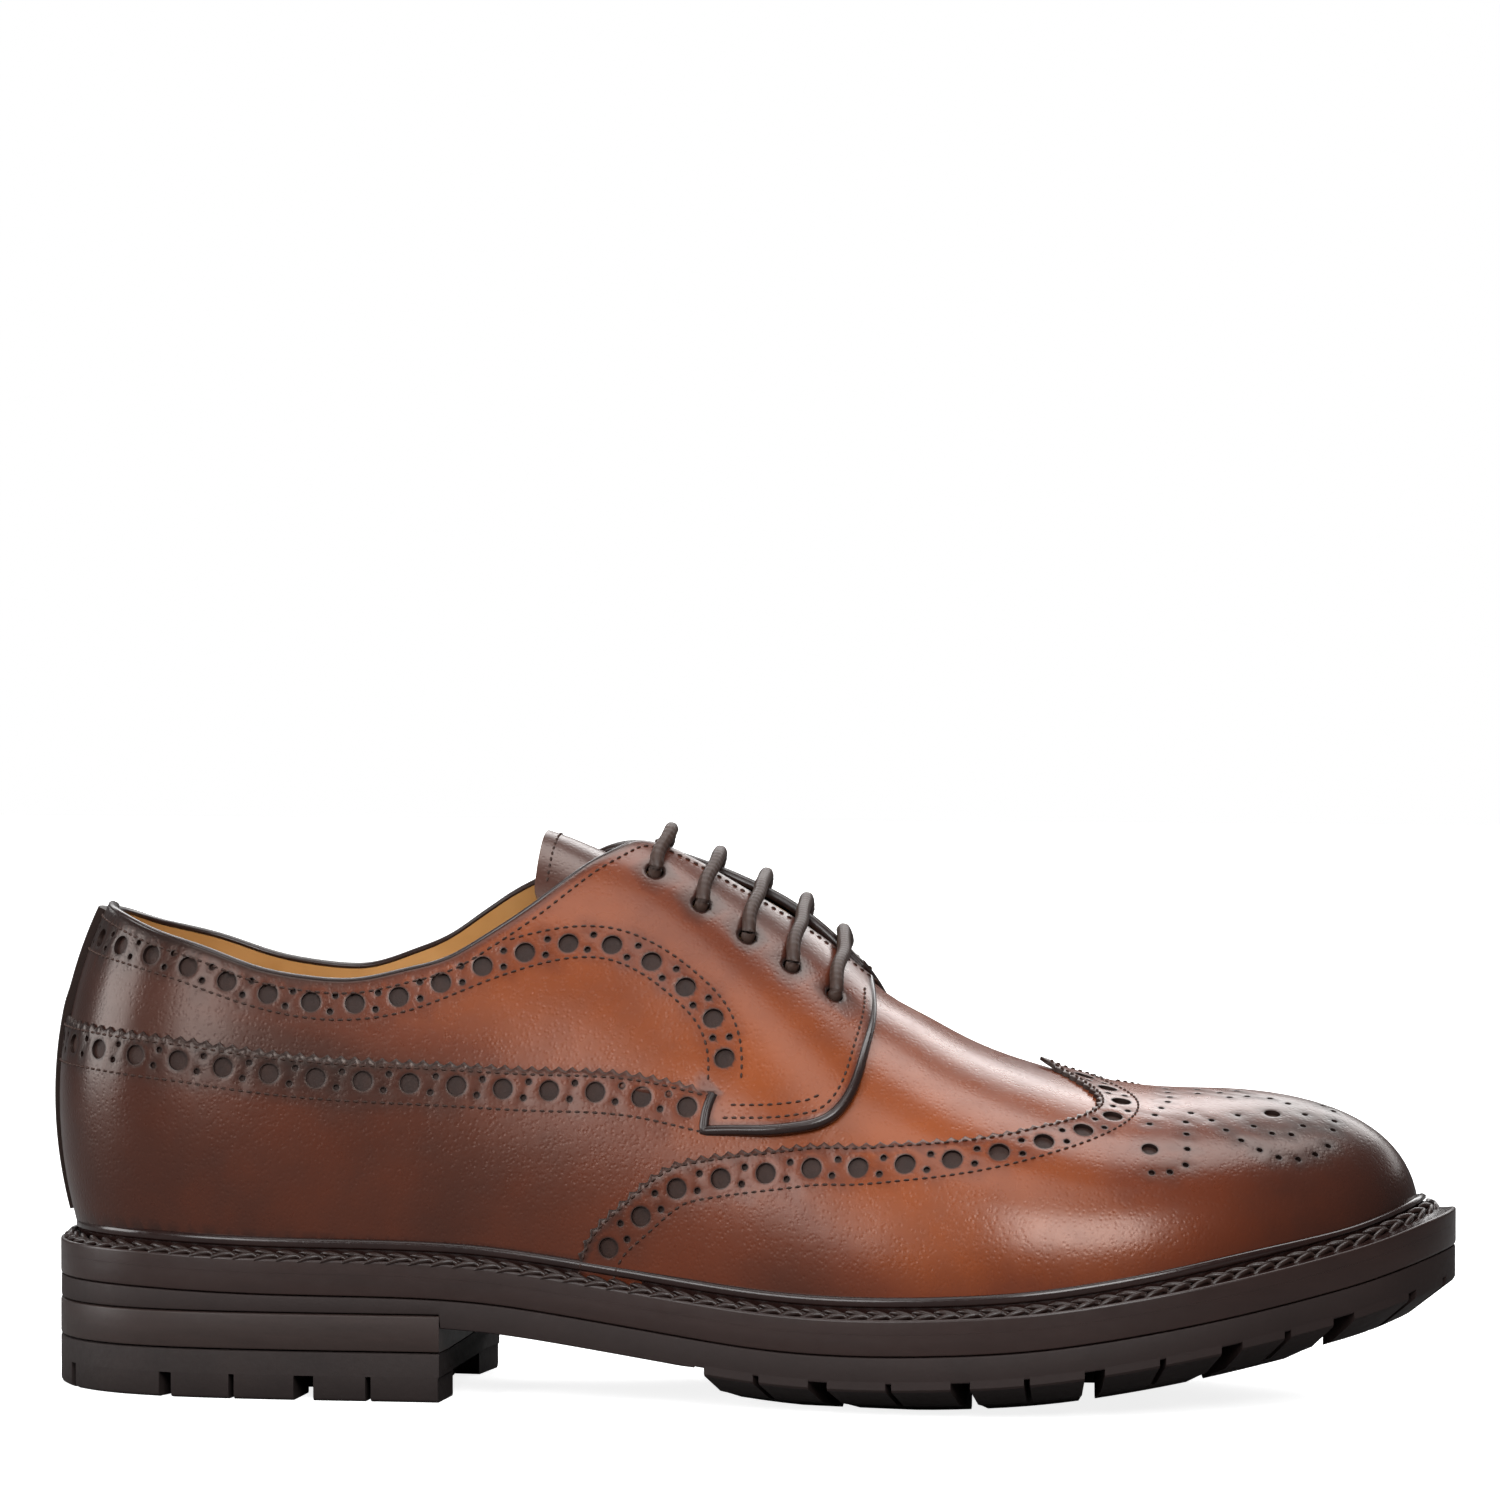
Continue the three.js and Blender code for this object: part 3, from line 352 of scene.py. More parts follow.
def gimped(line, pitch, depth, side=-1):  # a pinked edge: even teeth cut along the line
    fine = evened(line[:, 0], line[:, 1], pitch / 4, side)
    tooth = np.array([0.0, 0.62, 1.0, 0.62])[np.arange(len(fine)) % 4]
    return besideLine(fine, -depth * tooth, side)


print("last ready")


# Shader maths: a socket wrapped so that Python operators add Math nodes
class Value:
    def __init__(self, tree, socket):
        self.tree, self.socket = tree, socket

    def math(self, operation, *others, clamp=False):
        node = self.tree.nodes.new("ShaderNodeMath")
        node.operation, node.use_clamp = operation, clamp
        for i, item in enumerate((self, *others)):
            if isinstance(item, Value):
                self.tree.links.new(item.socket, node.inputs[i])
            else:
                node.inputs[i].default_value = item
        return Value(self.tree, node.outputs[0])

    def __add__(self, other):
        return self.math("ADD", other)

    def __sub__(self, other):
        return self.math("SUBTRACT", other)

    def __mul__(self, other):
        return self.math("MULTIPLY", other)

    def __rsub__(self, other):
        return self.math("MULTIPLY", -1.0).math("ADD", other)

    __radd__, __rmul__ = __add__, __mul__

    def clamped(self):
        return self.math("ADD", 0.0, clamp=True)

    def step(self, low, high):  # 0 below low, 1 above high, smooth between
        node = self.tree.nodes.new("ShaderNodeMapRange")
        node.interpolation_type = "SMOOTHSTEP"
        self.tree.links.new(self.socket, node.inputs["Value"])
        node.inputs["From Min"].default_value, node.inputs["From Max"].default_value = low, high
        return Value(self.tree, node.outputs["Result"])


class Finish:  # one material and its node tree
    def __init__(self, name):
        self.material = bpy.data.materials.new(name)
        self.material.use_nodes = True
        self.tree = self.material.node_tree
        self.tree.nodes.clear()
        self.shader = self.tree.nodes.new("ShaderNodeBsdfPrincipled")
        output = self.tree.nodes.new("ShaderNodeOutputMaterial")
        self.tree.links.new(self.shader.outputs[0], output.inputs["Surface"])
        self.place = self.node("ShaderNodeTexCoord").outputs["Object"]

    def node(self, kind, settings=None, **sockets):
        node = self.tree.nodes.new(kind)
        for name, value in (settings or {}).items():
            if name == "stops":
                while len(node.color_ramp.elements) < len(value):
                    node.color_ramp.elements.new(0.5)
                for element, (at, colour) in zip(node.color_ramp.elements, value):
                    element.position, element.color = at, (*colour, 1)
            else:
                setattr(node, name, value)
        for name, value in sockets.items():
            self.put(node.inputs[name.replace("_", " ")], value)
        return node

    def put(self, socket, value):
        if isinstance(value, Value):
            value = value.socket
        if isinstance(value, bpy.types.NodeSocket):
            self.tree.links.new(value, socket)
        elif isinstance(value, tuple) and len(value) == 3 and socket.type == "RGBA":
            socket.default_value = (*value, 1)
        else:
            socket.default_value = value

    def value(self, socket):
        return Value(self.tree, socket)

    def noise(self, scale, detail=2.0, roughness=0.5, place=None, stretch=None):
        source = place or self.place
        if stretch:
            source = self.node("ShaderNodeMapping", Vector=source, Scale=stretch).outputs[0]
        return self.value(self.node("ShaderNodeTexNoise", Vector=source, Scale=scale, Detail=detail,
                                    Roughness=roughness).outputs[0])

    def cells(self, scale, feature="F1", place=None):
        node = self.node("ShaderNodeTexVoronoi", {"feature": feature}, Vector=place or self.place, Scale=scale)
        return self.value(node.outputs[0])

    def attribute(self, name):
        return self.value(self.node("ShaderNodeAttribute", {"attribute_name": name}).outputs["Fac"])

    def along(self, axis):
        split = self.node("ShaderNodeSeparateXYZ", Vector=self.place)
        return self.value(split.outputs[axis])

    def blend(self, factor, first, second):
        node = self.node("ShaderNodeMix", {"data_type": "RGBA"})
        self.put(node.inputs[0], factor)
        self.put(node.inputs[6], first)
        self.put(node.inputs[7], second)
        return node.outputs[2]

    def ramp(self, value, stops):
        return self.node("ShaderNodeValToRGB", {"stops": stops}, Fac=value).outputs[0]

    def bump(self, height, distance, strength=1.0, under=None):
        node = self.node("ShaderNodeBump", Height=height, Distance=distance, Strength=strength)
        if under is not None:
            self.tree.links.new(under, node.inputs["Normal"])
        return node.outputs[0]

    def set(self, **sockets):
        for name, value in sockets.items():
            self.put(self.shader.inputs[name.replace("_", " ")], value)
        return self.material


calfLook = {
    "light": (0.27, 0.062, 0.015), "middle": (0.13, 0.027, 0.0095), "dark": (0.055, 0.0145, 0.008),
    "deepest": (0.015, 0.0075, 0.0065), "grain": 950.0, "grainDepth": 0.00006,
}


def calfFinish(name, look):  # burnished calf: tone 0 is the clear cognac, 1 the darkest polish
    f = Finish(name)
    tone, edge = f.attribute("tone"), f.attribute("edge")
    cloud = f.noise(38, 3, 0.55) - 0.5
    fine = f.noise(160, 2, 0.6) - 0.5
    level = (tone + cloud * 0.34 + fine * 0.1).clamped()
    colour = f.ramp(level, [(0.0, look["light"]), (0.3, look["middle"]), (0.65, look["dark"]), (1.0, look["deepest"])])
    colour = f.blend(edge.clamped(), colour, look["deepest"])
    pores = f.cells(look["grain"]).step(0.0, 0.55)
    crease = f.noise(260, 3, 0.6)
    swell = f.noise(26, 2, 0.5)
    normal = f.bump(swell, 0.0007, 0.5)
    normal = f.bump(crease, 0.00009, 0.6, normal)
    normal = f.bump(pores, look["grainDepth"], 0.55, normal)
    rough = (0.27 + fine * 0.12 + tone * 0.04 + edge * 0.2).clamped()
    return f.set(Base_Color=colour, Roughness=rough, Normal=normal, Specular_IOR_Level=0.4,
                 Coat_Weight=0.22, Coat_Roughness=0.22, Specular_Tint=(1.0, 0.8, 0.7))


def plainFinish(name, colours, rough, noiseScale, bumpDepth, coat=0.0, coatRough=0.2, stretch=None):
    f = Finish(name)
    cloud = f.noise(noiseScale, 3, 0.6, stretch=stretch)
    spots = f.noise(noiseScale * 7, 2, 0.6)
    colour = f.blend((cloud * 1.5 - 0.25).clamped(), *colours)
    roughness = (rough + (spots - 0.5) * 0.18).clamped()
    normal = f.bump(spots, bumpDepth, 0.7)
    return f.set(Base_Color=colour, Roughness=roughness, Normal=normal, Specular_IOR_Level=0.35, Coat_Weight=coat,
                 Coat_Roughness=coatRough)


finishes = {
    "calf": calfFinish("burnished calf", calfLook),
    "edgeInk": plainFinish("inked edge", ((0.014, 0.007, 0.006), (0.026, 0.012, 0.01)), 0.3, 120, 0.00004, 0.3, 0.15),
    "thread": plainFinish("brown thread", ((0.028, 0.011, 0.007), (0.05, 0.02, 0.012)), 0.6, 900, 0.00005),
    # hole floors: darker than the leather under the holes, painted shade for the inside of each punched hole
    "holeShadeFloor": plainFinish("hole floor painted shade", ((0.016, 0.0065, 0.0045), (0.04, 0.015, 0.009)), 0.6, 260, 0.0001),
    "soleEdge": plainFinish("dyed sole edge", ((0.019, 0.009, 0.0075), (0.03, 0.0145, 0.012)), 0.38, 45, 0.00006,
                            0.25, 0.25, (1, 1, 5)),
    "heelLift": plainFinish("stacked lift", ((0.024, 0.0145, 0.0125), (0.036, 0.021, 0.018)), 0.5, 60, 0.00007,
                            0.1, 0.3, (1, 1, 8)),
    "rubber": plainFinish("dark rubber", ((0.016, 0.009, 0.008), (0.025, 0.014, 0.0125)), 0.6, 70, 0.00008),
    "tread": plainFinish("tread rubber", ((0.016, 0.0105, 0.01), (0.025, 0.016, 0.0145)), 0.68, 90, 0.0001),
    "welt": plainFinish("polished welt", ((0.012, 0.005, 0.0045), (0.024, 0.01, 0.008)), 0.24, 90, 0.00006,
                        0.4, 0.15),
    # welt braid: dark waxed thread, made darker still as painted shade for the recess under the lip
    "braid": plainFinish("waxed welt thread, painted shade", ((0.014, 0.007, 0.0055), (0.028, 0.013, 0.01)), 0.36, 700, 0.00006, 0.2),
    "lining": plainFinish("tan lining", ((0.45, 0.22, 0.065), (0.58, 0.31, 0.11)), 0.5, 70, 0.00008),
    "insole": plainFinish("insole leather", ((0.4, 0.21, 0.075), (0.5, 0.28, 0.11)), 0.45, 60, 0.00007),
    "lace": plainFinish("waxed cotton", ((0.035, 0.018, 0.013), (0.06, 0.032, 0.023)), 0.5, 800, 0.00008, 0.1, 0.3),
}
print("finishes ready")


# Meshes
def makeMesh(name, points, faces, finishNames, faceFinish=None, values=None, smoothAngle=38):
    mesh = bpy.data.meshes.new(name)
    mesh.from_pydata(inFrame(points).tolist(), [], [tuple(int(i) for i in f) for f in faces])
    shell = bmesh.new()
    shell.from_mesh(mesh)
    bmesh.ops.recalc_face_normals(shell, faces=shell.faces)
    shell.to_mesh(mesh)
    shell.free()
    for finishName in finishNames:
        mesh.materials.append(finishes[finishName])
    if faceFinish is not None:
        mesh.polygons.foreach_set("material_index", np.asarray(faceFinish, np.int32))
    for key, data in (values or {}).items():
        layer = mesh.attributes.new(key, "FLOAT", "POINT")
        layer.data.foreach_set("value", np.asarray(data, np.float32))
    mesh.validate()
    mesh.shade_smooth()
    mesh.set_sharp_from_angle(angle=math.radians(smoothAngle))
    piece = bpy.data.objects.new(name, mesh)
    bpy.context.scene.collection.objects.link(piece)
    return piece


def finishPiece(piece, replaced=()):
    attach(piece, "root")
    if replaced:
        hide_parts(*replaced)
    return piece


def inPolygon(points, polygon):
    inside = np.zeros(len(points), bool)
    x, y = points[:, 0], points[:, 1]
    x1, y1 = polygon[:, 0], polygon[:, 1]
    x2, y2 = np.roll(x1, -1), np.roll(y1, -1)
    for i in range(len(polygon)):
        if y1[i] == y2[i]:
            continue
        crosses = ((y1[i] > y) != (y2[i] > y)) & (x < (x2[i] - x1[i]) * (y - y1[i]) / (y2[i] - y1[i]) + x1[i])
        inside ^= crosses
    return inside


chartScale = np.array([105.0, 92.0])  # turns the chart's turn and way into roughly millimetres


def holeOutline(side, turn, way, radius, count):
    a, w = np.full(count, side * turn), np.full(count, way)
    normal = lastNormal(a, w)
    first = np.cross(normal, np.array([0.31, 0.17, 0.93]))
    first /= np.linalg.norm(first, axis=1, keepdims=True)
    second = np.cross(normal, first)
    spin = np.arange(count) / count * 2 * pi
    step = (first * np.cos(spin)[:, None] + second * np.sin(spin)[:, None]) * radius
    a2, w2 = moved(a, w, step)
    return np.stack([a2 * side, w2], -1)


def treeOf(points):
    tree = kdtree.KDTree(len(points))
    for i, p in enumerate(points):
        tree.insert(p, i)
    tree.balance()
    return tree


def cutSheet(side, loop, holes, spacing, rings=(0.4, 1.0, 2.0)):
    # a flat-cut piece of one side as chart points and triangles
    loop = np.asarray(loop, float)
    scaled = loop * chartScale
    keep = np.linalg.norm(scaled - np.roll(scaled, 1, axis=0), axis=1) > 0.02
    loop, scaled = loop[keep], scaled[keep]
    loops, holeLoops = [loop], []
    for turn, way, radius in holes:
        ring = holeOutline(side, turn, way, radius, 18 if radius > 1.2 else 9)
        holeLoops.append(ring)
        loops.append(ring)
    edges, start = [], 0
    for one in loops:
        n = len(one)
        edges += [(start + i, start + (i + 1) % n) for i in range(n)]
        start += n
    border = np.concatenate(loops)
    borderPoints = lastPoint(side * border[:, 0], border[:, 1])
    following = np.concatenate([np.roll(one, -1, axis=0) for one in loops])
    middles = lastPoint(side * (border[:, 0] + following[:, 0]) / 2, (border[:, 1] + following[:, 1]) / 2)
    tree = treeOf(np.concatenate([borderPoints, middles]))

    def toEdge(points):
        return np.array([tree.find(p)[2] for p in points])

    low, high = scaled.min(0), scaled.max(0)
    us, vs = np.arange(low[0], high[0], spacing), np.arange(low[1], high[1], spacing * 0.87)
    grid = np.array([(u + (spacing / 2 if j % 2 else 0), v) for j, v in enumerate(vs) for u in us])
    grid = grid[inPolygon(grid, scaled)] / chartScale
    gridPoints = lastPoint(side * grid[:, 0], grid[:, 1])
    grid = grid[toEdge(gridPoints) > max(spacing * 0.62, rings[-1] + 0.5 if rings else 0)]
    extra = [grid]
    for ringAt in rings:
        t = np.roll(loop, -1, axis=0) - np.roll(loop, 1, axis=0)
        p = lastPoint(side * loop[:, 0], loop[:, 1])
        tangent = np.roll(p, -1, axis=0) - np.roll(p, 1, axis=0)
        tangent /= np.maximum(np.linalg.norm(tangent, axis=1, keepdims=True), 1e-9)
        across = np.cross(lastNormal(side * loop[:, 0], loop[:, 1]), tangent)
        for sign in (-1, 1):
            a, w = moved(side * loop[:, 0], loop[:, 1], across * sign * ringAt)
            candidate = np.stack([a * side, w], -1)[:: max(1, int(ringAt))]
            candidate = candidate[(candidate[:, 1] > 0.002) & (candidate[:, 1] < 0.998)]
            candidate = candidate[(candidate[:, 0] > 0.002) & (candidate[:, 0] < pi - 0.002)]
            if len(candidate):
                candidate = candidate[inPolygon(candidate * chartScale, scaled)]
            if len(candidate):
                far = toEdge(lastPoint(side * candidate[:, 0], candidate[:, 1])) > ringAt * 0.8
                extra.append(candidate[far])
    for turn, way, radius in holes:
        for grow, count in ((0.4, 18), (1.0, 14)) if radius > 1.2 else ((0.4, 8),):
            ring = holeOutline(side, turn, way, radius + grow, count)
            ring = ring[(ring[:, 1] > 0.002) & (ring[:, 1] < 0.998) & (ring[:, 0] > 0.002) & (ring[:, 0] < pi - 0.002)]
            if len(ring):
                ring = ring[inPolygon(ring * chartScale, scaled)]
            if len(ring):
                extra.append(ring[toEdge(lastPoint(side * ring[:, 0], ring[:, 1])) > grow * 0.7])
    free = np.concatenate(extra)
    cell = np.round(free * chartScale / 0.3).astype(int)
    _, first = np.unique(cell, axis=0, return_index=True)
    everything = np.concatenate([border, free[np.sort(first)]])
    vertices = [Vector(p) for p in everything * chartScale]
    outV, _, outF, _, _, _ = delaunay_2d_cdt(vertices, edges, [], 1, 1e-5)
    chart = np.array([tuple(v) for v in outV]) / chartScale
    triangles = np.array([f for f in outF if len(f) == 3])
    centres = chart[triangles].mean(1)
    good = inPolygon(centres * chartScale, scaled)
    for ring in holeLoops:
        close = np.abs((centres - ring.mean(0)) * chartScale).max(1) < 8
        index = np.nonzero(close & good)[0]
        if len(index):
            good[index] &= ~inPolygon(centres[index] * chartScale, ring * chartScale)
    triangles = triangles[good]
    if side > 0:
        triangles = triangles[:, ::-1]
    return chart, triangles


def joinedPanel(name, sheets, height, thickness, tone, finishNames, holes, roll=0.28, rollWidth=0.9):
    # sheets are (side, chart, triangles): halves that meet share their points
    angle = np.concatenate([side * chart[:, 0] for side, chart, _ in sheets])
    way = np.concatenate([chart[:, 1] for _, chart, _ in sheets])
    base, normal = lastPoint(angle, way), lastNormal(angle, way)
    key = np.round(base / 0.004).astype(np.int64)
    _, first, back = np.unique(key, axis=0, return_index=True, return_inverse=True)
    back = back.reshape(-1)
    start, triangles = 0, []
    for _, chart, tris in sheets:
        triangles.append(back[tris + start])
        start += len(chart)
    triangles = np.concatenate(triangles)
    degenerate = (triangles[:, 0] == triangles[:, 1]) | (triangles[:, 1] == triangles[:, 2])
    triangles = triangles[~(degenerate | (triangles[:, 0] == triangles[:, 2]))]
    angle, way, base, normal = angle[first], way[first], base[first], normal[first]
    sides = np.concatenate([triangles[:, [0, 1]], triangles[:, [1, 2]], triangles[:, [2, 0]]])
    ordered = np.sort(sides, axis=1)
    _, index, count = np.unique(ordered, axis=0, return_index=True, return_counts=True)
    rim = sides[index[count == 1]]
    onRim = np.zeros(len(base), bool)
    onRim[rim.reshape(-1)] = True
    spots = np.concatenate([base[rim[:, 0]], (base[rim[:, 0]] + base[rim[:, 1]]) / 2])
    punched = treeOf([lastPoint(side * turn, at) for side, turn, at, _ in holes])
    weights = np.array([0.3 if punched.find(p)[2] < 2.6 else 1.0 for p in spots])
    tree = treeOf(spots)
    found = [tree.find(p) for p in base]
    near = np.array([f[2] for f in found])
    weight = weights[[f[1] for f in found]]
    h = height(angle, way, base)
    fall = np.clip(1 - near / rollWidth, 0, 1) ** 2 * weight
    top = base + normal * (h - roll * fall)[:, None]
    bottom = base + normal * (h - thickness)[:, None]
    n = len(base)
    faces = np.concatenate([triangles, triangles[:, ::-1] + n])
    walls = np.stack([rim[:, 1], rim[:, 0], rim[:, 0] + n, rim[:, 1] + n], -1)
    allFaces = [*faces.tolist(), *walls.tolist()]
    dark = np.clip(tone(angle, way, base) + 0.6 * weight * np.exp(-(near / 1.3) ** 2), 0, 1)
    edge = np.where(onRim, 1.0, 0.0)
    values = {"tone": np.concatenate([dark, np.ones(n)]), "edge": np.concatenate([edge, np.ones(n)])}
    points = np.concatenate([top, bottom])
    return makeMesh(name, points, allFaces, finishNames, None, values, 50)


# How dark the polish is: soft patches at lengths and ways of the last
burnish = {
    "clear": 0.06,
    "patches": [  # along, way, reach along, reach up, darkness
        (0.0, 0.4, 0.12, 1.2, 0.64), (0.12, 0.5, 0.12, 0.2, 0.3), (0.22, 0.12, 0.16, 0.2, 0.36),
        (0.36, 0.2, 0.12, 0.14, 0.32), (0.2, 0.3, 0.1, 0.06, 0.4), (0.4, 0.95, 0.12, 0.24, 0.3),
        (0.52, 0.86, 0.1, 0.2, 0.4), (0.6, -0.1, 0.6, 0.18, 0.55), (0.56, 0.1, 0.06, 0.16, 0.28),
        (0.7, 0.95, 0.05, 0.3, 0.2), (0.8, 0.45, 0.05, 0.2, 0.15), (0.93, 0.8, 0.1, 0.5, 0.35),
        (1.0, 0.2, 0.15, 1.4, 0.75),
    ],
}


def polish(angle, way, base):
    total = np.full(len(way), burnish["clear"])
    along = base[:, 0] / soleLength
    for at, up, reachAlong, reachUp, dark in burnish["patches"]:
        far = ((along - at) / reachAlong) ** 2 + ((way - up) / reachUp) ** 2
        total = total + dark * np.exp(-far)
    return np.clip(total, 0, 1)


# The lines of the pattern, as shares along the sole and of the way up the section
pattern = {
    "wing": [
        (0.392, 0.0), (0.396, 0.044), (0.405, 0.092), (0.426, 0.144), (0.446, 0.19), (0.466, 0.23), (0.486, 0.257),
        (0.506, 0.281), (0.545, 0.329), (0.585, 0.387), (0.624, 0.434), (0.662, 0.487), (0.693, 0.534),
        (0.723, 0.599), (0.742, 0.661), (0.752, 0.733), (0.748, 0.808), (0.73, 0.905), (0.715, 0.965), (0.703, 1.0),
    ],
    "foxing": [
        (0.005, 0.31), (0.063, 0.307), (0.118, 0.309), (0.187, 0.312), (0.256, 0.319), (0.323, 0.33),
        (0.393, 0.342), (0.462, 0.366), (0.497, 0.383),
    ],
    "tabFront": [
        (0.58, 1.0), (0.587, 0.9), (0.594, 0.748), (0.593, 0.628), (0.59, 0.537), (0.584, 0.473), (0.573, 0.417),
        (0.553, 0.372), (0.532, 0.343), (0.51, 0.322), (0.487, 0.3),
    ],
    "tabBack": [(0.487, 0.3), (0.489, 0.34), (0.493, 0.372)],
    "collarRow": [
        (0.012, 0.452), (0.05, 0.438), (0.09, 0.425), (0.148, 0.403), (0.206, 0.393), (0.268, 0.423),
        (0.325, 0.497), (0.385, 0.56), (0.416, 0.572), (0.444, 0.565), (0.47, 0.545), (0.49, 0.51),
        (0.499, 0.45), (0.5, 0.41),
    ],
    "gimpPitch": 3.0, "gimpDepth": 1.0,
}


def crownLine(alongFrom, alongTo, spacing):
    turns = crownTurn(np.array([alongFrom, alongTo]) * soleLength)
    fine = np.linspace(turns[0], turns[1], 400)
    return evened(fine, np.ones_like(fine), spacing)


def toeLine(wayFrom, wayTo, spacing):
    fine = np.linspace(wayFrom, wayTo, 200)
    return evened(np.full_like(fine, pi), fine, spacing)


def heelLine(wayFrom, wayTo, spacing):
    fine = np.linspace(wayFrom, wayTo, 200)
    return evened(np.zeros_like(fine), fine, spacing)


def closed(*parts):
    return np.concatenate([part[:-1] for part in parts])


# Rows of punched holes: large ones along a line, pairs of small ones between them
punch = {"large": 2.15, "small": 0.68, "pairOut": 1.75, "pairShift": 0.5, "wingPitch": 9.9, "foxingPitch": 9.9,
         "collarPitch": 9.2}


def punchRow(line, pitch, side, firstAt=0.5, pairs=True):
    holes = []
    p = lastPoint(side * line[:, 0], line[:, 1])
    length = np.concatenate([[0], np.cumsum(np.linalg.norm(np.diff(p, axis=0), axis=1))])
    count = int((length[-1] - 2 * firstAt * pitch) / pitch) + 1
    stretch = (length[-1] - 2 * firstAt * pitch) / max(count - 1, 1)

    def at(s, across):
        i = np.clip(np.searchsorted(length, s) - 1, 1, len(line) - 3)
        piece = line[i - 1:i + 3]
        local = besideLine(piece, across, side)
        share = (s - length[i]) / max(length[i + 1] - length[i], 1e-6)
        return local[1] * (1 - share) + local[2] * share

    for k in range(count):
        s = firstAt * pitch + k * stretch
        turn, way = at(s, 0.0)
        holes.append((turn, way, punch["large"]))
        if pairs and k < count - 1:
            for across, shift in ((punch["pairOut"], punch["pairShift"]), (-punch["pairOut"], -punch["pairShift"])):
                turn, way = at(s + stretch / 2 + shift, across)
                holes.append((turn, way, punch["small"]))
    return holes


stitchRows = []


def sewRow(line, side, height):
    good = (line[:, 1] > 0.004) & (line[:, 1] < 0.997)
    line = line[good]
    if len(line) > 4:
        fine = evened(line[:, 0], line[:, 1], 0.8, side)
        a, w = side * fine[:, 0], fine[:, 1]
        base = lastPoint(a, w)
        h = height(a, w, base)
        stitchRows.append((base + lastNormal(a, w) * (h + 0.02)[:, None], lastNormal(a, w)))


# Vamp and foxing: one panel from the heel round the toe, under the wing and the facings
vampPlan = {"thickness": 0.9, "foxingRise": 0.9, "frontRise": 0.05, "fadeFrom": 0.4, "fadeTo": 0.53,
            "rowIn": 5.2, "stitchIn": 1.9, "farStitchIn": 9.6, "spacing": 3.0}


def vampHeight(angle, way, base):
    share = smooth(base[:, 0] / soleLength, vampPlan["fadeFrom"], vampPlan["fadeTo"])
    return vampPlan["foxingRise"] * (1 - share) + vampPlan["frontRise"] * share


def makeVamp():
    sheets, backs = [], []
    for side in (-1, 1):
        edge = lineOnLast(pattern["foxing"], 0.8, side)
        edge = np.concatenate([heelLine(edge[0, 1], edge[0, 1], 0.5)[:1], edge])
        toothed = gimped(edge, pattern["gimpPitch"], pattern["gimpDepth"], side)
        toothed[0] = (0.0, edge[0, 1])
        endTurn, endWay = toothed[-1]
        hidden = np.array([(endTurn, endWay), (endTurn + 0.06, 0.5), (endTurn + 0.12, 0.7), (endTurn + 0.16, 0.88)])
        crownFrom = 0.568
        meet = np.array([crownTurn(crownFrom * soleLength), 1.0])
        hidden = np.concatenate([hidden, meet[None]])
        dense = np.concatenate([np.linspace(hidden[i], hidden[i + 1], 12)[:-1] for i in range(len(hidden) - 1)])
        dense = np.concatenate([dense, meet[None]])
        loop = closed(toothed, dense, crownLine(crownFrom, 0.83, 2.2), toeLine(1, 0.03, 2.2),
                      wayLineBack(0.03, 2.2), heelLine(0.03, edge[0, 1], 2.0))
        row = besideLine(edge, -vampPlan["rowIn"], side)
        holes = punchRow(row[6:-3], punch["foxingPitch"], side, 0.35)
        for inset in (vampPlan["stitchIn"], vampPlan["farStitchIn"]):
            sewRow(besideLine(edge, -inset, side)[4:], side, vampHeight)
        chart, triangles = cutSheet(side, loop, holes, vampPlan["spacing"])
        sheets.append((side, chart, triangles))
        backs += [(side, *hole) for hole in holes]
    panel = joinedPanel("vamp_and_foxing", sheets, vampHeight, vampPlan["thickness"], polish, ["calf"], backs)
    return panel, [(b, vampHeight, vampPlan["thickness"]) for b in backs]


def wayLineBack(way, spacing):  # along a line of constant way from the toe to the heel
    fine = np.linspace(pi, 0, 1200)
    return evened(fine, np.full_like(fine, way), spacing)


# Wing cap
wingPlan = {"rise": 1.15, "peakRise": 1.2, "thickness": 1.1, "rowIn": 5.6, "stitchIn": 1.4, "farStitchIn": 9.3,
            "spacing": 2.9}


def wingHeight(angle, way, base):
    tip = pattern["wing"][-1][0] * soleLength
    peak = np.exp(-((base[:, 0] - tip) / 3.2) ** 2) * smooth(way, 0.93, 1.0)
    return wingPlan["rise"] + vampHeight(angle, way, base) + wingPlan["peakRise"] * peak


medallion = {
    "big": 1.75, "small": 0.68, "axis": -5.0,
    "ring": [(0.895, 0.562), (0.895, 0.501), (0.888, 0.468), (0.875, 0.49), (0.862, 0.541), (0.85, 0.616),
             (0.841, 0.77), (0.853, 0.767), (0.869, 0.722), (0.882, 0.656)],
    "leaf": [(0.833, 0.607), (0.844, 0.543), (0.855, 0.483), (0.868, 0.426), (0.881, 0.381), (0.894, 0.358),
             (0.905, 0.363), (0.913, 0.386), (0.915, 0.452)],
    "curl": [(0.818, 0.665), (0.816, 0.614), (0.818, 0.551), (0.82, 0.483), (0.82, 0.419), (0.81, 0.401),
             (0.798, 0.407), (0.792, 0.621), (0.794, 0.671), (0.797, 0.715), (0.8, 0.76)],
    "centre": (0.873, 0.599), "beside": (0.795, 0.502),
}


def placeOn(x, y):  # the place on the toe box straight under a point of the plan
    divide = float(crownShift(x))
    if x > crownFront:
        ways = np.linspace(0, 1, 200)
        line = lastPoint(np.full(200, pi), ways)[::-1]
        divide = float(np.interp(x, line[:, 0], line[:, 1]))
    side = 1 if y > divide else -1
    y = divide + side * max(abs(y - divide), 1.7)
    turn, way = 2.75, 0.75
    for _ in range(14):
        p = lastPoint(side * turn, way)
        a, way = moved(side * turn, way, np.array([x - p[0], y - p[1], 0.0]) * 0.8)
        turn, way = float(np.clip(side * a, 1.5, pi - 0.01)), float(np.clip(way, 0.05, 0.99))
    return side, turn, way


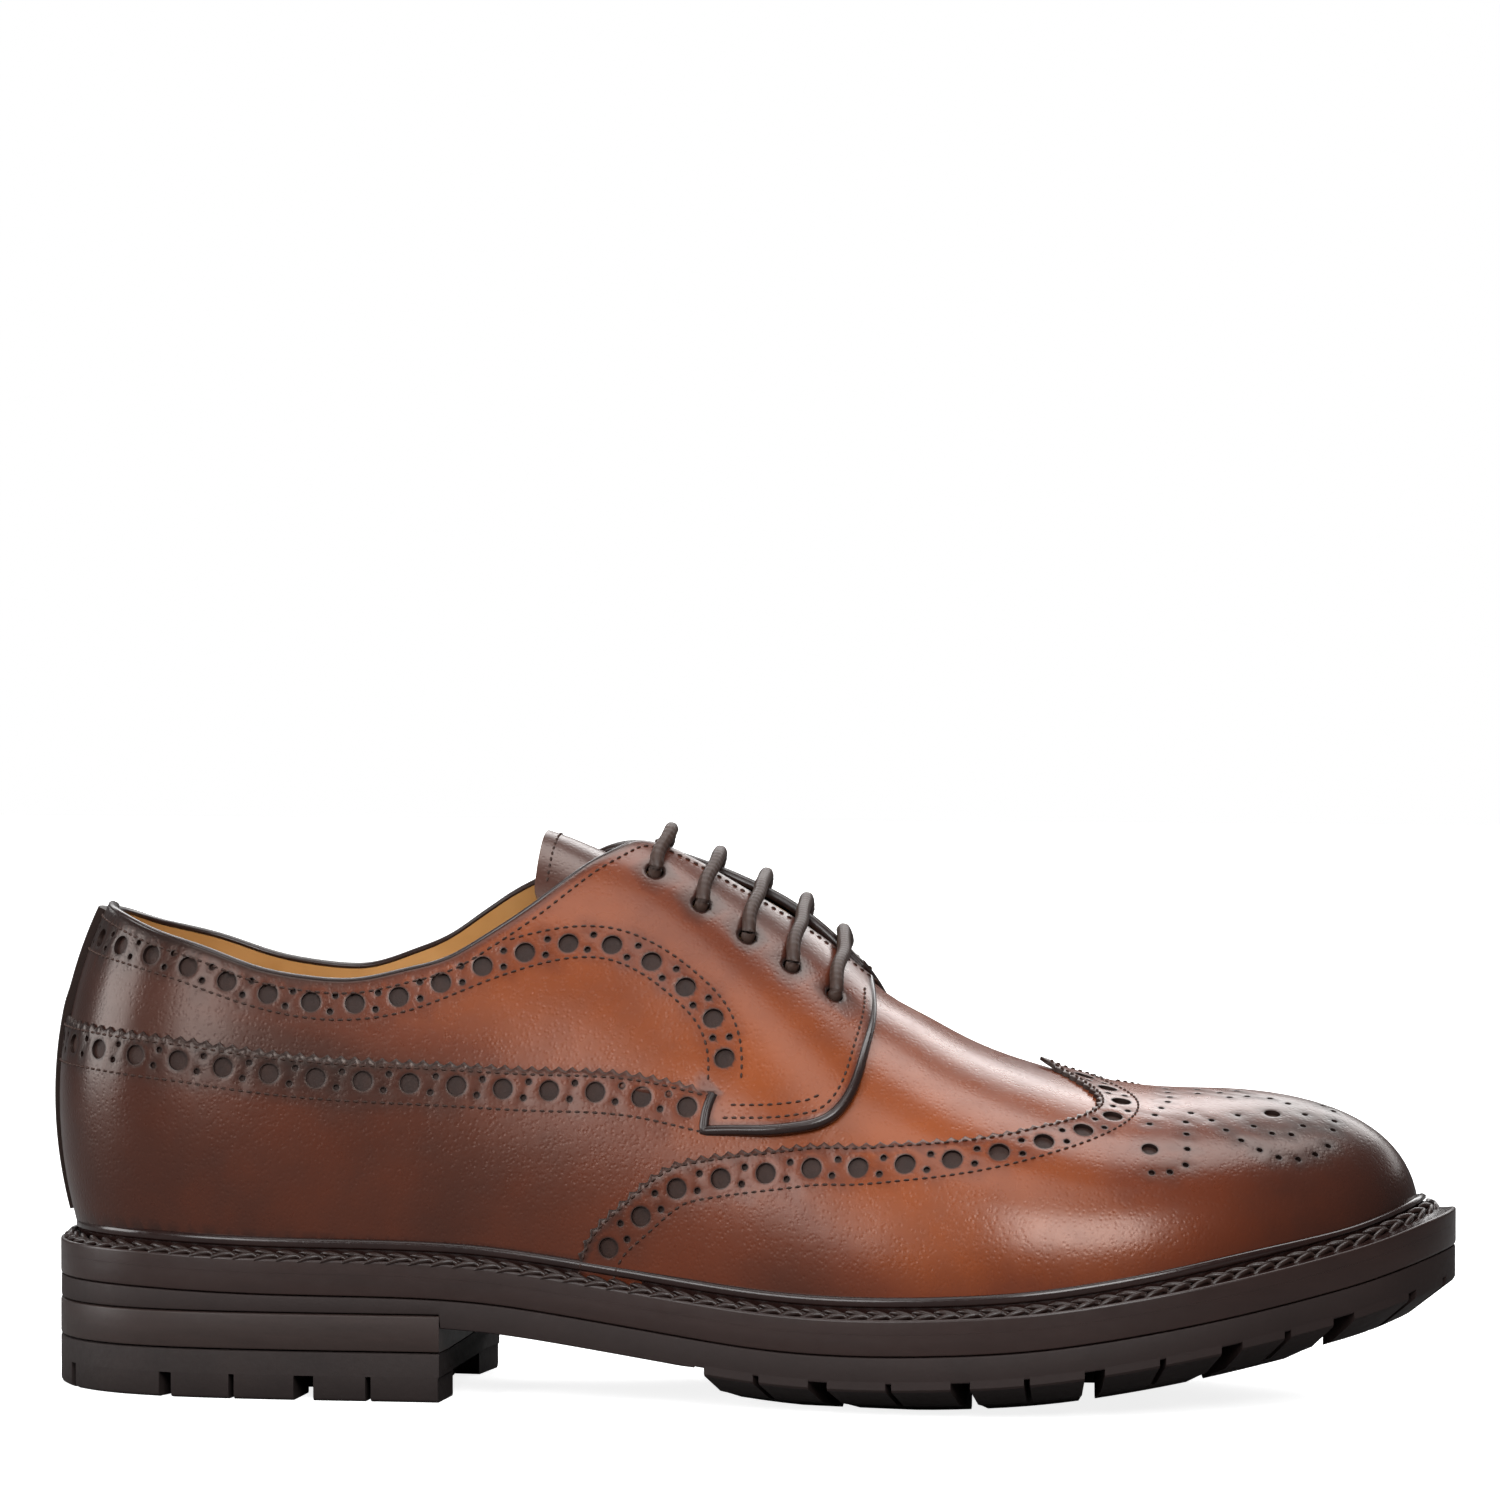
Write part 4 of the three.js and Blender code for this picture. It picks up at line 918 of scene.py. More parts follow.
def medallionHoles():
    holes = []
    for name in ("ring", "leaf", "curl", "centre", "beside"):
        spots = medallion[name] if isinstance(medallion[name], list) else [medallion[name]]
        radius = medallion["big"] if name in ("centre", "beside") else medallion["small"]
        for along, way in spots:
            p = lastPoint(-float(angleAt(-1, along, way)), way)
            mirrored = 2 * medallion["axis"] - p[1]
            holes.append((*placeOn(p[0], p[1]), radius))
            if name in ("leaf", "curl", "beside") and abs(mirrored - p[1]) > 3:
                holes.append((*placeOn(p[0], mirrored), radius))
    return holes


def makeWing():
    sheets, backs = [], []
    dots = medallionHoles()
    for side in (-1, 1):
        edge = lineOnLast(pattern["wing"], 0.8, side)
        toothed = gimped(edge, pattern["gimpPitch"], pattern["gimpDepth"], side)
        toothed[0] = edge[0]
        toothed = toothed[(toothed[:, 1] < 0.992) & (toothed[:, 1] > 0.004)]
        toothed = np.concatenate([edge[:1], toothed, edge[-1:]])
        toothed[-1] = (crownTurn(pattern["wing"][-1][0] * soleLength), 1.0)
        startTurn = toothed[0, 0]
        fine = np.linspace(pi, startTurn, 900)
        feet = evened(fine, np.zeros_like(fine), 2.2)
        loop = closed(toothed, crownLine(pattern["wing"][-1][0], 0.83, 2.0), toeLine(1, 0, 2.0), feet)
        row = besideLine(edge, -wingPlan["rowIn"], side)
        row = row[(row[:, 1] < 0.975) & (row[:, 1] > 0.07)]
        holes = punchRow(row, punch["wingPitch"], side, 0.1)
        holes += [dot[1:] for dot in dots if dot[0] == side]
        for inset in (wingPlan["stitchIn"], wingPlan["farStitchIn"]):
            sewRow(besideLine(edge, -inset, side), side, wingHeight)
        chart, triangles = cutSheet(side, loop, holes, wingPlan["spacing"])
        sheets.append((side, chart, triangles))
        backs += [(side, *hole) for hole in holes]
    panel = joinedPanel("wing_cap", sheets, wingHeight, wingPlan["thickness"], polish, ["calf"], backs)
    return panel, [(b, wingHeight, wingPlan["thickness"]) for b in backs]


# Quarters with their lace facings
quarterPlan = {"thickness": 1.2, "tabRise": 1.9, "fadeFrom": 0.36, "lowFadeFrom": 0.465, "lap": 0.035, "spacing": 2.9,
               "collarHalf": 3.5, "toplineRow": 2.9, "eyelet": 1.95, "innerLift": 3.8,
               "innerBack": 0.011, "innerFrontBack": 0.012}
eyeletPlan = {"count": 5, "places": [(0.437, 0.785), (0.471, 0.755), (0.505, 0.742), (0.537, 0.733), (0.567, 0.737)]}


def facingLift(angle, way, base):  # the inner facing stands a little off the tongue
    along = base[:, 0] / soleLength
    near = smooth(along, 0.35, 0.46) * (1 - smooth(along, 0.49, 0.585)) * smooth(way, 0.74, 0.95)
    return np.where(np.asarray(angle) > 0, quarterPlan["innerLift"] * near, 0)


def quarterHeight(angle, way, base):  # the facing thickens slowly above, at once along the foxing
    along, high = base[:, 0] / soleLength, smooth(way, 0.46, 0.8)
    start = quarterPlan["fadeFrom"] * high + quarterPlan["lowFadeFrom"] * (1 - high)
    rise = quarterPlan["tabRise"] * smooth(along, start, start + 0.085 + 0.045 * high)
    return rise + facingLift(angle, way, base)


def tabFrontLine(side):  # the inner facing ends a little further back
    back = quarterPlan["innerFrontBack"] if side > 0 else 0
    return lineOnLast([(a - back * float(smooth(w, 0.55, 0.9)), w) for a, w in pattern["tabFront"]], 0.8, side)


def eyeletPlaces(side):
    back = quarterPlan["innerBack"] if side > 0 else 0
    return [(float(angleAt(side, along - back, way)), way) for along, way in eyeletPlan["places"]]


def makeQuarters():
    sheets, backs = [], []
    for side in (-1, 1):
        bottom = lineOnLast([(a, w - quarterPlan["lap"]) for a, w in pattern["foxing"][:-1]], 1.6, side)
        bottom[0, 0] = 0.0
        tabBack = lineOnLast(pattern["tabBack"], 0.8, side)
        tabFront = tabFrontLine(side)
        turns = np.linspace(0, float(tabFront[0, 0]), 1400)
        topline = evened(turns, leatherEnd(side * turns), 0.9, side)
        joint = np.array([tuple(bottom[-1]), tuple(tabBack[-1])])
        joint = np.stack([np.linspace(joint[0, i], joint[1, i], 6) for i in range(2)], -1)
        last = topline[-1]
        front = tabFront[tabFront[:, 1] < min(last[1], 0.985) - 0.01]
        front = np.concatenate([last[None], front])
        backSeam = heelLine(topline[0, 1], bottom[0, 1], 2.0)
        loop = closed(bottom, joint, tabBack[::-1], front[::-1], topline[::-1], backSeam)
        centre = lineOnLast(pattern["collarRow"], 0.8, side)
        holes = punchRow(centre, punch["collarPitch"], side, 0.45)
        for turn, way in eyeletPlaces(side):
            holes.append((turn, way, quarterPlan["eyelet"]))
        sewRow(besideLine(centre, -quarterPlan["collarHalf"], side)[2:], side, quarterHeight)
        outer = centre[lastPoint(side * centre[:, 0], centre[:, 1])[:, 0] > 0.345 * soleLength]
        sewRow(besideLine(outer, quarterPlan["collarHalf"] + 0.3, side), side, quarterHeight)
        sewRow(besideLine(topline[topline[:, 0] > 0.08], -quarterPlan["toplineRow"], side), side, quarterHeight)
        sewRow(besideLine(tabFront[tabFront[:, 1] < 0.86], -2.6, side)[:-6], side, quarterHeight)
        sewRow(besideLine(tabFront[tabFront[:, 1] < 0.43], -5.4, side)[:-8], side, quarterHeight)
        chart, triangles = cutSheet(side, loop, holes, quarterPlan["spacing"])
        sheets.append((side, chart, triangles))
        backs += [(side, *hole) for hole in holes[:-eyeletPlan["count"]]]
    panel = joinedPanel("quarters", sheets, quarterHeight, quarterPlan["thickness"], polish, ["calf"], backs)
    return panel, [(b, quarterHeight, quarterPlan["thickness"]) for b in backs]


vamp, vampHoles = makeVamp()
wing, wingHoles = makeWing()
quarters, quarterHoles = makeQuarters()
for panel in (vamp, wing, quarters):
    print(panel.name, len(panel.data.polygons), "faces")
finishPiece(vamp, ["upper"])
finishPiece(wing)
finishPiece(quarters)


# Floors of the punched holes: a disc for the layer seen through each hole, coloured darker as painted shade inside the
# hole
def makeHoleFloors(holes):
    points, faces = [], []
    for (side, turn, way, radius), height, thickness in holes:
        count = 12 if radius > 1.2 else 6
        ring = holeOutline(side, turn, way, radius + 0.15, count)
        a, w = side * ring[:, 0], np.clip(ring[:, 1], 0, 1)
        base = lastPoint(a, w)
        h = height(a, w, base) - thickness * 0.94
        normal = lastNormal(a, w)
        start = sum(len(p) for p in points)
        points += [base + normal * h[:, None], base + normal * (h - 0.12)[:, None]]
        order = list(range(count)) if side < 0 else list(range(count))[::-1]
        faces.append([start + i for i in order])
        faces.append([start + count + i for i in order[::-1]])
        for i in range(count):
            j = (i + 1) % count
            p, q = order[i], order[j]
            faces.append([start + q, start + p, start + count + p, start + count + q])
    return makeMesh("hole_floors", np.concatenate(points), faces, ["holeShadeFloor"])


finishPiece(makeHoleFloors(vampHoles + wingHoles + quarterHoles))
print("panels done")


# Lining: the inner skin of the upper, up to the collar
liningPlan = {"outer": -1.25, "thickness": 0.9, "stations": 150, "rows": 36, "trim": 0.004}


def makeLining():
    n, m = liningPlan["stations"], liningPlan["rows"]
    turns = np.concatenate([np.linspace(0, pi, n), [float(crownTurn(throatFront))]])
    turns = np.sort(turns)
    angles = np.concatenate([-turns[::-1][:-1], turns[:-1]])
    ends = leatherEnd(angles)
    shares = np.linspace(0, 1, m)
    A = np.repeat(angles[:, None], m, 1)
    W = (ends - np.where(ends < 1, liningPlan["trim"], 0))[:, None] * shares[None, :]
    lift = facingLift(A.reshape(-1), W.reshape(-1), lastPoint(A, W).reshape(-1, 3)).reshape(W.shape)
    outer = onLast(A, W, liningPlan["outer"] + lift)
    inner = onLast(A, W, liningPlan["outer"] - liningPlan["thickness"] + lift)
    count = len(angles)
    points = np.concatenate([outer.reshape(-1, 3), inner.reshape(-1, 3)])
    faces = []
    for i in range(count):
        k = (i + 1) % count
        for j in range(m - 1):
            a, b, c, d = i * m + j, k * m + j, k * m + j + 1, i * m + j + 1
            faces += [[a, b, c, d], [a + count * m, d + count * m, c + count * m, b + count * m]]
        faces.append([i * m, i * m + count * m, k * m + count * m, k * m])
        if ends[i] < 1 or ends[k] < 1:
            t, u = i * m + m - 1, k * m + m - 1
            faces.append([t, u, u + count * m, t + count * m])
    key = np.round(points / 0.002).astype(np.int64)
    _, first, back = np.unique(key, axis=0, return_index=True, return_inverse=True)
    back = back.reshape(-1)
    clean = []
    for face in faces:
        ids = [int(back[i]) for i in face]
        ids = [v for k, v in enumerate(ids) if v != ids[k - 1]]
        if len(set(ids)) == len(ids) and len(ids) > 2:
            clean.append(ids)
    return makeMesh("lining", points[first], clean, ["lining"])


lining = finishPiece(makeLining())


# A round bar swept along points, with a cross-section that may change
def sweep(points, normals, section, closedLine=False):
    points, normals = np.asarray(points, float), np.asarray(normals, float)
    tangent = np.gradient(points, axis=0)
    if closedLine:
        tangent = np.roll(points, -1, axis=0) - np.roll(points, 1, axis=0)
    tangent /= np.linalg.norm(tangent, axis=1, keepdims=True)
    up = normals - tangent * (normals * tangent).sum(1, keepdims=True)
    up /= np.linalg.norm(up, axis=1, keepdims=True)
    across = np.cross(tangent, up)
    count = section.shape[-2]
    section = np.broadcast_to(section, (len(points), count, 2))
    rings = points[:, None] + across[:, None] * section[..., :1] + up[:, None] * section[..., 1:]
    faces = []
    last = len(points) if closedLine else len(points) - 1
    for i in range(last):
        k = (i + 1) % len(points)
        for j in range(count):
            l = (j + 1) % count
            faces.append([i * count + j, i * count + l, k * count + l, k * count + j])
    if not closedLine:
        faces.append(list(range(count))[::-1])
        faces.append([(len(points) - 1) * count + j for j in range(count)])
    return rings.reshape(-1, 3), faces


def roundSection(radius, count, squash=1.0):
    spin = np.arange(count) / count * 2 * pi
    return np.stack([np.cos(spin) * radius, np.sin(spin) * radius * squash], -1)


# Folded edge along the collar and the facings, over the join of calf and lining
edgePlan = {"radius": 1.12, "squash": 0.62, "offset": -1.1}


def makeToplineEdge():
    spots, normals = [], []
    for side in (-1, 1):
        stop = float(tabFrontLine(side)[0, 0]) - 0.004
        turns = np.linspace(0, stop, 1600)
        line = evened(turns, leatherEnd(side * turns), 1.0, side)
        if side < 0:
            line = line[::-1]
        else:
            line = line[1:]
        a = side * line[:, 0]
        base = lastPoint(a, line[:, 1])
        lift = facingLift(a, line[:, 1], base)
        h = (quarterHeight(a, line[:, 1], base) - lift) * 0.75 + lift + edgePlan["offset"]
        n = lastNormal(a, line[:, 1])
        spots.append(base + n * h[:, None])
        normals.append(n)
    ring, sides = sweep(np.concatenate(spots), np.concatenate(normals),
                        roundSection(edgePlan["radius"], 10)[:, ::-1] * np.array([edgePlan["squash"], 1.0]))
    return makeMesh("topline_edge", ring, sides, ["edgeInk"], None, None, 60)


finishPiece(makeToplineEdge())

# Rolled edge along the front and the bottom of each lace facing
tabEdgePlan = {"radius": 1.25, "slim": 0.75, "sink": 0.6}


def makeTabEdge():
    points, faces, start = [], [], 0
    for side in (-1, 1):
        front = tabFrontLine(side)
        front = front[front[:, 1] < leatherEnd(side * front[:, 0]) - 0.006]
        line = np.concatenate([front, lineOnLast(pattern["tabBack"], 0.8, side)[1:]])
        a = side * line[:, 0]
        base, n = lastPoint(a, line[:, 1]), lastNormal(a, line[:, 1])
        h = (quarterHeight(a, line[:, 1], base) - tabEdgePlan["sink"])[:, None]
        grow = smooth(np.linspace(0, 1, len(line)), 0.1, 0.6)[:, None, None]
        radius = tabEdgePlan["slim"] + (tabEdgePlan["radius"] - tabEdgePlan["slim"]) * grow
        ring, sides = sweep(base + n * h, n, roundSection(1.0, 12)[None] * radius)
        points.append(ring)
        faces += [[i + start for i in face] for face in sides]
        start += len(ring)
    return makeMesh("facing_edge", np.concatenate(points), faces, ["edgeInk"], None, None, 60)


finishPiece(makeTabEdge())

# Strip down the back seam
stripPlan = {"half": 3.0, "rise": 2.0, "crown": 0.45, "foxingStep": 0.36, "sink": 0.4, "wayFrom": 0.05, "wayTo": 0.49}


def makeBackStrip():
    ways = np.linspace(stripPlan["wayFrom"], stripPlan["wayTo"], 60)
    around, _ = lastSlopes(np.zeros_like(ways), ways)
    reach = stripPlan["half"] / np.linalg.norm(around, axis=1)
    shares = np.linspace(-1, 1, 9)
    overFoxing = stripPlan["foxingStep"] * smooth(0.34 - ways, -0.02, 0.02)
    rings = [onLast(share * reach, ways, stripPlan["rise"] - stripPlan["crown"] * share ** 2 + overFoxing)
             for share in shares]
    rings += [onLast(share * reach, ways, np.full_like(ways, -stripPlan["sink"])) for share in shares[::-1]]
    rings = np.array(rings)
    count, m = len(rings), len(ways)
    faces = []
    for i in range(count):
        k = (i + 1) % count
        for j in range(m - 1):
            faces.append([i * m + j, k * m + j, k * m + j + 1, i * m + j + 1])
    faces.append([i * m for i in range(count)][::-1])
    faces.append([i * m + m - 1 for i in range(count)])
    tone = np.full(count * m, 1.0)
    values = {"tone": tone, "edge": np.zeros(count * m)}
    return makeMesh("back_strip", rings.reshape(-1, 3), faces, ["calf"], None, values, 50)


finishPiece(makeBackStrip())

# Tongue
tonguePlan = {
    "crest": [(0.335, 1.01), (0.353, 1.0), (0.39, 0.965), (0.438, 0.917), (0.487, 0.868), (0.535, 0.8), (0.58, 0.71),
              (0.64, 0.63)],
    "top": 0.353, "front": 0.625, "half": 25.0, "taper": 0.62, "lowest": 0.6, "under": 2.9, "thickness": 2.2,
    "rowIn": 2.4,
}


def makeTongue():
    rows = tonguePlan["crest"]
    crest = naturalSpline(np.array([r[0] for r in rows]) * soleLength, [r[1] for r in rows])
    turnFrom, turnTo = (float(crownTurn(tonguePlan[k] * soleLength)) for k in ("top", "front"))
    along, across = 60, 22
    turns = np.linspace(turnFrom, turnTo, along)
    width = tonguePlan["half"] * (1 - (1 - tonguePlan["taper"]) * (turns - turnFrom) / (turnTo - turnFrom))

    def leaf(depth):
        rows = []
        for side in (-1, 1):
            low, high = np.full(along, tonguePlan["lowest"]), np.ones(along)
            for _ in range(24):
                middle = (low + high) / 2
                wide = np.abs(lastPoint(side * turns, middle)[:, 1] - crownShift(crownX(turns))) > width
                low, high = np.where(wide, middle, low), np.where(wide, high, middle)
            shares = np.linspace(1, 0, across) if side < 0 else np.linspace(0, 1, across)[1:]
            for share in shares:
                way = 1 - (1 - low) * share
                a = turns.copy()
                wanted = crownX(turns) + 4.5 * max(0, share - 0.8) / 0.2 * np.clip(1 - (turns - turnFrom) / 0.2, 0, 1)
                for _ in range(4):
                    here = lastPoint(side * a, way)[:, 0]
                    ahead = lastPoint(side * (a + probe), way)[:, 0]
                    a = a + (wanted - here) / (ahead - here) * probe
                p = onLast(side * a, way, np.full(along, -tonguePlan["under"] - depth))
                spare = np.maximum(0, crownHeight(crownX(a)) - tonguePlan["under"]
                                   - crest(crownX(a)) * form["instepHeight"])
                base = soleTop(p[:, 0])
                rise = (lastPoint(side * a, way)[:, 2] - base) / (crownHeight(crownX(a)) - base)
                p[:, 2] -= spare * np.minimum(1, rise) ** 4
                rows.append(p)
        return np.array(rows)

    top, bottom = leaf(0.0), leaf(tonguePlan["thickness"])
    back = tonguePlan["top"] * soleLength + tonguePlan["rowIn"]
    row = np.array([[np.interp(back, line[:, 0], line[:, i]) for i in range(3)] for line in top[6:-6]])
    tilt = np.cross(np.gradient(row, axis=0), top[6:-6, 3] - top[6:-6, 0])
    tilt *= np.sign(tilt[:, 2:])
    stitchRows.append((row + [0, 0, 0.05], tilt / np.linalg.norm(tilt, axis=1, keepdims=True)))
    count = len(top)
    points = np.concatenate([top.reshape(-1, 3), bottom.reshape(-1, 3)])
    shift = count * along
    faces, finish = [], []
    for i in range(count - 1):
        for j in range(along - 1):
            a, b, c, d = i * along + j, i * along + j + 1, (i + 1) * along + j + 1, (i + 1) * along + j
            faces += [[a, b, c, d], [d + shift, c + shift, b + shift, a + shift]]
            finish += [0, 1]
    for i in range(count - 1):
        for j in (0, along - 1):
            a, b = i * along + j, (i + 1) * along + j
            faces.append([a, b, b + shift, a + shift] if j == 0 else [b, a, a + shift, b + shift])
            finish.append(2)
    for j in range(along - 1):
        for i in (0, count - 1):
            a, b = i * along + j, i * along + j + 1
            faces.append([b, a, a + shift, b + shift] if i == 0 else [a, b, b + shift, a + shift])
            finish.append(2)
    tone = np.full(len(points), 0.7)
    values = {"tone": tone, "edge": np.zeros(len(points))}
    return makeMesh("tongue_leaf", points, faces, ["calf", "lining", "edgeInk"], finish, values, 45)


tongue = finishPiece(makeTongue(), ["tongue"])
print("tongue and lining done")


# Laces: round waxed cord, braided on its surface
lacePlan = {"radius": 1.5, "nearRise": 1.8, "lean": 1.5, "leanMore": 0.9, "sides": 20, "braid": 0.055, "twist": 1.05,
            "step": 0.34,
            # share of the facing's height, out from it and up, from behind the lining to above the leather
            "throughEyelet": [(0, -4.2, -0.9), (1, -1.2, -0.5), (1, 0.9, 0.5), (1, 1.75, 2.8)]}
laceNodes = [f"lace_bar_{i + 1}" for i in range(eyeletPlan["count"])]


def smoothPath(points, spacing):
    points = np.asarray(points, float)
    at = np.concatenate([[0], np.cumsum(np.linalg.norm(np.diff(points, axis=0), axis=1))])
    fine = np.linspace(0, at[-1], int(at[-1] / spacing) + 2)
    return np.stack([naturalSpline(at, points[:, i])(fine) for i in range(3)], -1)


def laceBar(i):
    routes = []
    for side in (-1, 1):
        turn, way = eyeletPlaces(side)[i]
        along = eyeletPlan["places"][i][0] - (quarterPlan["innerBack"] if side > 0 else 0)
        base = lastPoint(side * turn, way)
        normal = lastNormal(side * turn, way)
        up = lastPoint(side * turn, min(way + 0.02, 1)) - base
        up /= np.linalg.norm(up)
        h = float(quarterHeight(np.array([side * turn]), np.array([way]), base[None])[0])
        route = [base + normal * (h * on + out) + up * rise for on, out, rise in lacePlan["throughEyelet"]]
        for share in (0.7, 1.0):
            lean = (lacePlan["lean"] + lacePlan["leanMore"] * i) * share / soleLength
            ahead = float(angleAt(side, along + lean, way))
            w = way + (float(leatherEnd(np.array([side * ahead]))[0]) - way) * share
            p = lastPoint(side * ahead, w)
            over = lacePlan["radius"] + 0.15 + float(quarterHeight(np.array([side * ahead]), np.array([w]), p[None])[0])
            over += lacePlan["nearRise"] * share * max(0, 1 - i / 3) if side < 0 else 0
            route.append(p + lastNormal(side * ahead, w) * over)
        routes.append(route)
    left, right = routes
    middle = (left[-1] + right[-1]) / 2 + np.array([0, 0, 0.5])
    path = smoothPath(left + [middle] + right[::-1], lacePlan["step"])
    spin = np.arange(lacePlan["sides"]) / lacePlan["sides"] * 2 * pi
    run = np.arange(len(path)) * lacePlan["step"] * lacePlan["twist"]
    weave = np.cos(3 * spin[None] + run[:, None] * 2) * np.cos(3 * spin[None] - run[:, None] * 2)
    radius = lacePlan["radius"] * (1 + lacePlan["braid"] * weave)
    section = np.stack([np.cos(spin) * radius, np.sin(spin) * radius], -1)
    return sweep(path, np.tile([0.15, 0.0, 1.0], (len(path), 1)), section)


def makeLaces():
    points, faces = [], []
    start = 0
    for i in range(eyeletPlan["count"]):
        p, f = laceBar(i)
        points.append(p)
        faces += [[k + start for k in face] for face in f]
        start += len(p)
    return makeMesh("laces", np.concatenate(points), faces, ["lace"], None, None, 80)


laces = finishPiece(makeLaces(), laceNodes)
print("laces done")


# Slabs of the sole: a profile run round the outline, closed above and below
def soleSlab(outer, turnTo=pi, stations=150, marks=()):
    # outer is a list of (inset, height by length) from the top face round the edge to the bottom face
    full = turnTo >= pi
    turns = np.sort(np.concatenate([np.linspace(0, turnTo, stations), angleOf(np.array(marks) / soleLength)]))
    angles = np.concatenate([-turns[::-1], turns[1:]]) if not full else np.concatenate([-turns[::-1][:-1], turns[:-1]])
    rings = []
    for inset, height in outer:
        flat = soleInset(angles, np.full(len(angles), inset))
        rings.append(np.concatenate([flat, height(flat[:, 0])[:, None]], 1))
    count, m = len(rings), len(angles)
    points = np.concatenate(rings)
    faces = []
    run = m if full else m - 1
    for i in range(count - 1):
        for j in range(run):
            k = (j + 1) % m
            faces.append([i * m + j, (i + 1) * m + j, (i + 1) * m + k, i * m + k])
    half = len(turns) - 1
    for base in (0, (count - 1) * m):
        for step in range(1, half + (0 if full else 1)):
            a, b = base + half - step, base + (half + step) % m
            c, d = base + half - step + 1, base + half + step - 1
            faces.append([a, c, d, b] if step > 1 else [a, c, b])
        if full:
            faces.append([base, base + 1, base + m - 1])
    if not full:
        faces.append([i * m for i in range(count)] + [i * m + m - 1 for i in range(count)][::-1])
    return points, faces


solePlan = {
    "weltBottom": -3.15, "midsoleBottom": -7.8, "rubberTop": -8.0, "waistBottom": -14.1, "foreBottom": -13.7,
    "heelBreast": 92.0, "treadBack": 149.0, "liftTop": 18.8, "topPieceTop": 10.6, "heelRubber": 19.0,
    "treadDepth": 21.6, "treadEdgeRise": 2.6, "sideBand": 1.5, "lugBevel": 9.0, "lugWidth": 22.0,
    "lugGap": 4.2, "cut": 1.3, "foreGaps": [0.484, 0.573, 0.674, 0.766, 0.857, 0.93],
    "heelSlots": [(0.075, 1.4), (0.335, 2.8), (0.5, 1.2), (0.675, 4.4), (0.83, 1.2)], "heelSlotTop": 5.4,
    "centreWidth": 24.0,
}


def level(share):
    return lambda x: soleTop(x) + share


def flatLevel(z):
    return lambda x: np.full(len(np.atleast_1d(x)), float(z))


def makeMidsole():
    top, bottom = solePlan["weltBottom"], solePlan["midsoleBottom"]
    outer = [(12, level(top - 0.02)), (0.0, level(top - 0.02)), (0.0, level(top - 1.2)), (0.0, level(bottom + 0.7)),
             (0.08, level(bottom + 0.22)), (0.4, level(bottom)), (12, level(bottom))]
    return makeMesh("midsole_edge", *soleSlab(outer), ["soleEdge"])


midsole = finishPiece(makeMidsole(), ["midsole"])

weltPlan = {"gap": 1.25, "lip": 1.7, "lipTop": 5.0, "lipToe": -1.5, "lipBottom": 2.3, "stations": 240}


def lipFace(angle):  # how far in from the sole's edge the lip's outer face stands
    return weltShelf(angle) - weltPlan["gap"] - weltPlan["lip"]


def weltProfile(angle):
    # inset from the sole's edge and height over the sole's top, one profile for each angle
    out = lipFace(angle)
    inner = out + weltPlan["lip"]
    top = weltPlan["lipTop"] - 0.7 + weltPlan["lipToe"] * smooth(shareOf(wrapped(angle)), 0.85, 1.0)
    low = weltPlan["lipBottom"]
    zero = np.zeros_like(out)
    return [
        (inner + 1.2, zero - 3.0), (inner + 0.4, top - 1.1), (inner + 0.25, top - 0.45), (inner - 0.3, top),
        (inner - 0.9, top + 0.1), (out + 0.35, top - 0.05), (out + 0.05, top - 0.4), (out, top - 0.9),
        (out, zero + low + 0.3), (out + 0.15, zero + low), (out + 0.6, zero + low - 0.2), (out + 0.75, zero + 0.2),
        (out + 0.2, zero - 0.15), (zero + 0.9, zero - 0.1), (zero + 0.42, zero), (zero + 0.16, zero - 0.08),
        (zero + 0.03, zero - 0.25), (zero, zero - 0.6), (zero, zero - 3.15), (inner, zero - 3.15),
    ]


def makeWelt():
    turns = np.linspace(-pi, pi, weltPlan["stations"] * 2, endpoint=False)
    rings = []
    for inset, rise in weltProfile(turns):
        flat = soleInset(turns, inset)
        edge = soleTop(solePoint(turns)[:, 0])
        rings.append(np.concatenate([flat, (edge + rise)[:, None]], 1))
    count, m = len(rings), len(turns)
    faces = [[i * m + j, i * m + (j + 1) % m, ((i + 1) % count) * m + (j + 1) % m, ((i + 1) % count) * m + j]
             for i in range(count) for j in range(m)]
    finish = []
    for i in range(count):
        finish += [1 if i >= 13 else 0] * m
    faces = [f[::-1] for f in faces]
    return makeMesh("storm_welt", np.concatenate(rings), faces, ["welt", "soleEdge"], finish, None, 45)


welt = finishPiece(makeWelt(), ["welt"])


def makeHeelLift():
    turnTo = float(angleOf(solePlan["heelBreast"] / soleLength))
    top, bottom = solePlan["liftTop"], solePlan["topPieceTop"] + 0.3
    outer = [(10, flatLevel(top)), (0.5, flatLevel(top)), (0.1, flatLevel(top - 0.2)), (0.0, flatLevel(top - 0.6)),
             (0.0, flatLevel(bottom + 0.5)), (0.12, flatLevel(bottom + 0.15)), (0.5, flatLevel(bottom)),
             (10, flatLevel(bottom))]
    return makeMesh("heel_stack", *soleSlab(outer, turnTo, 70), ["heelLift"])


finishPiece(makeHeelLift(), ["heel_lift"])


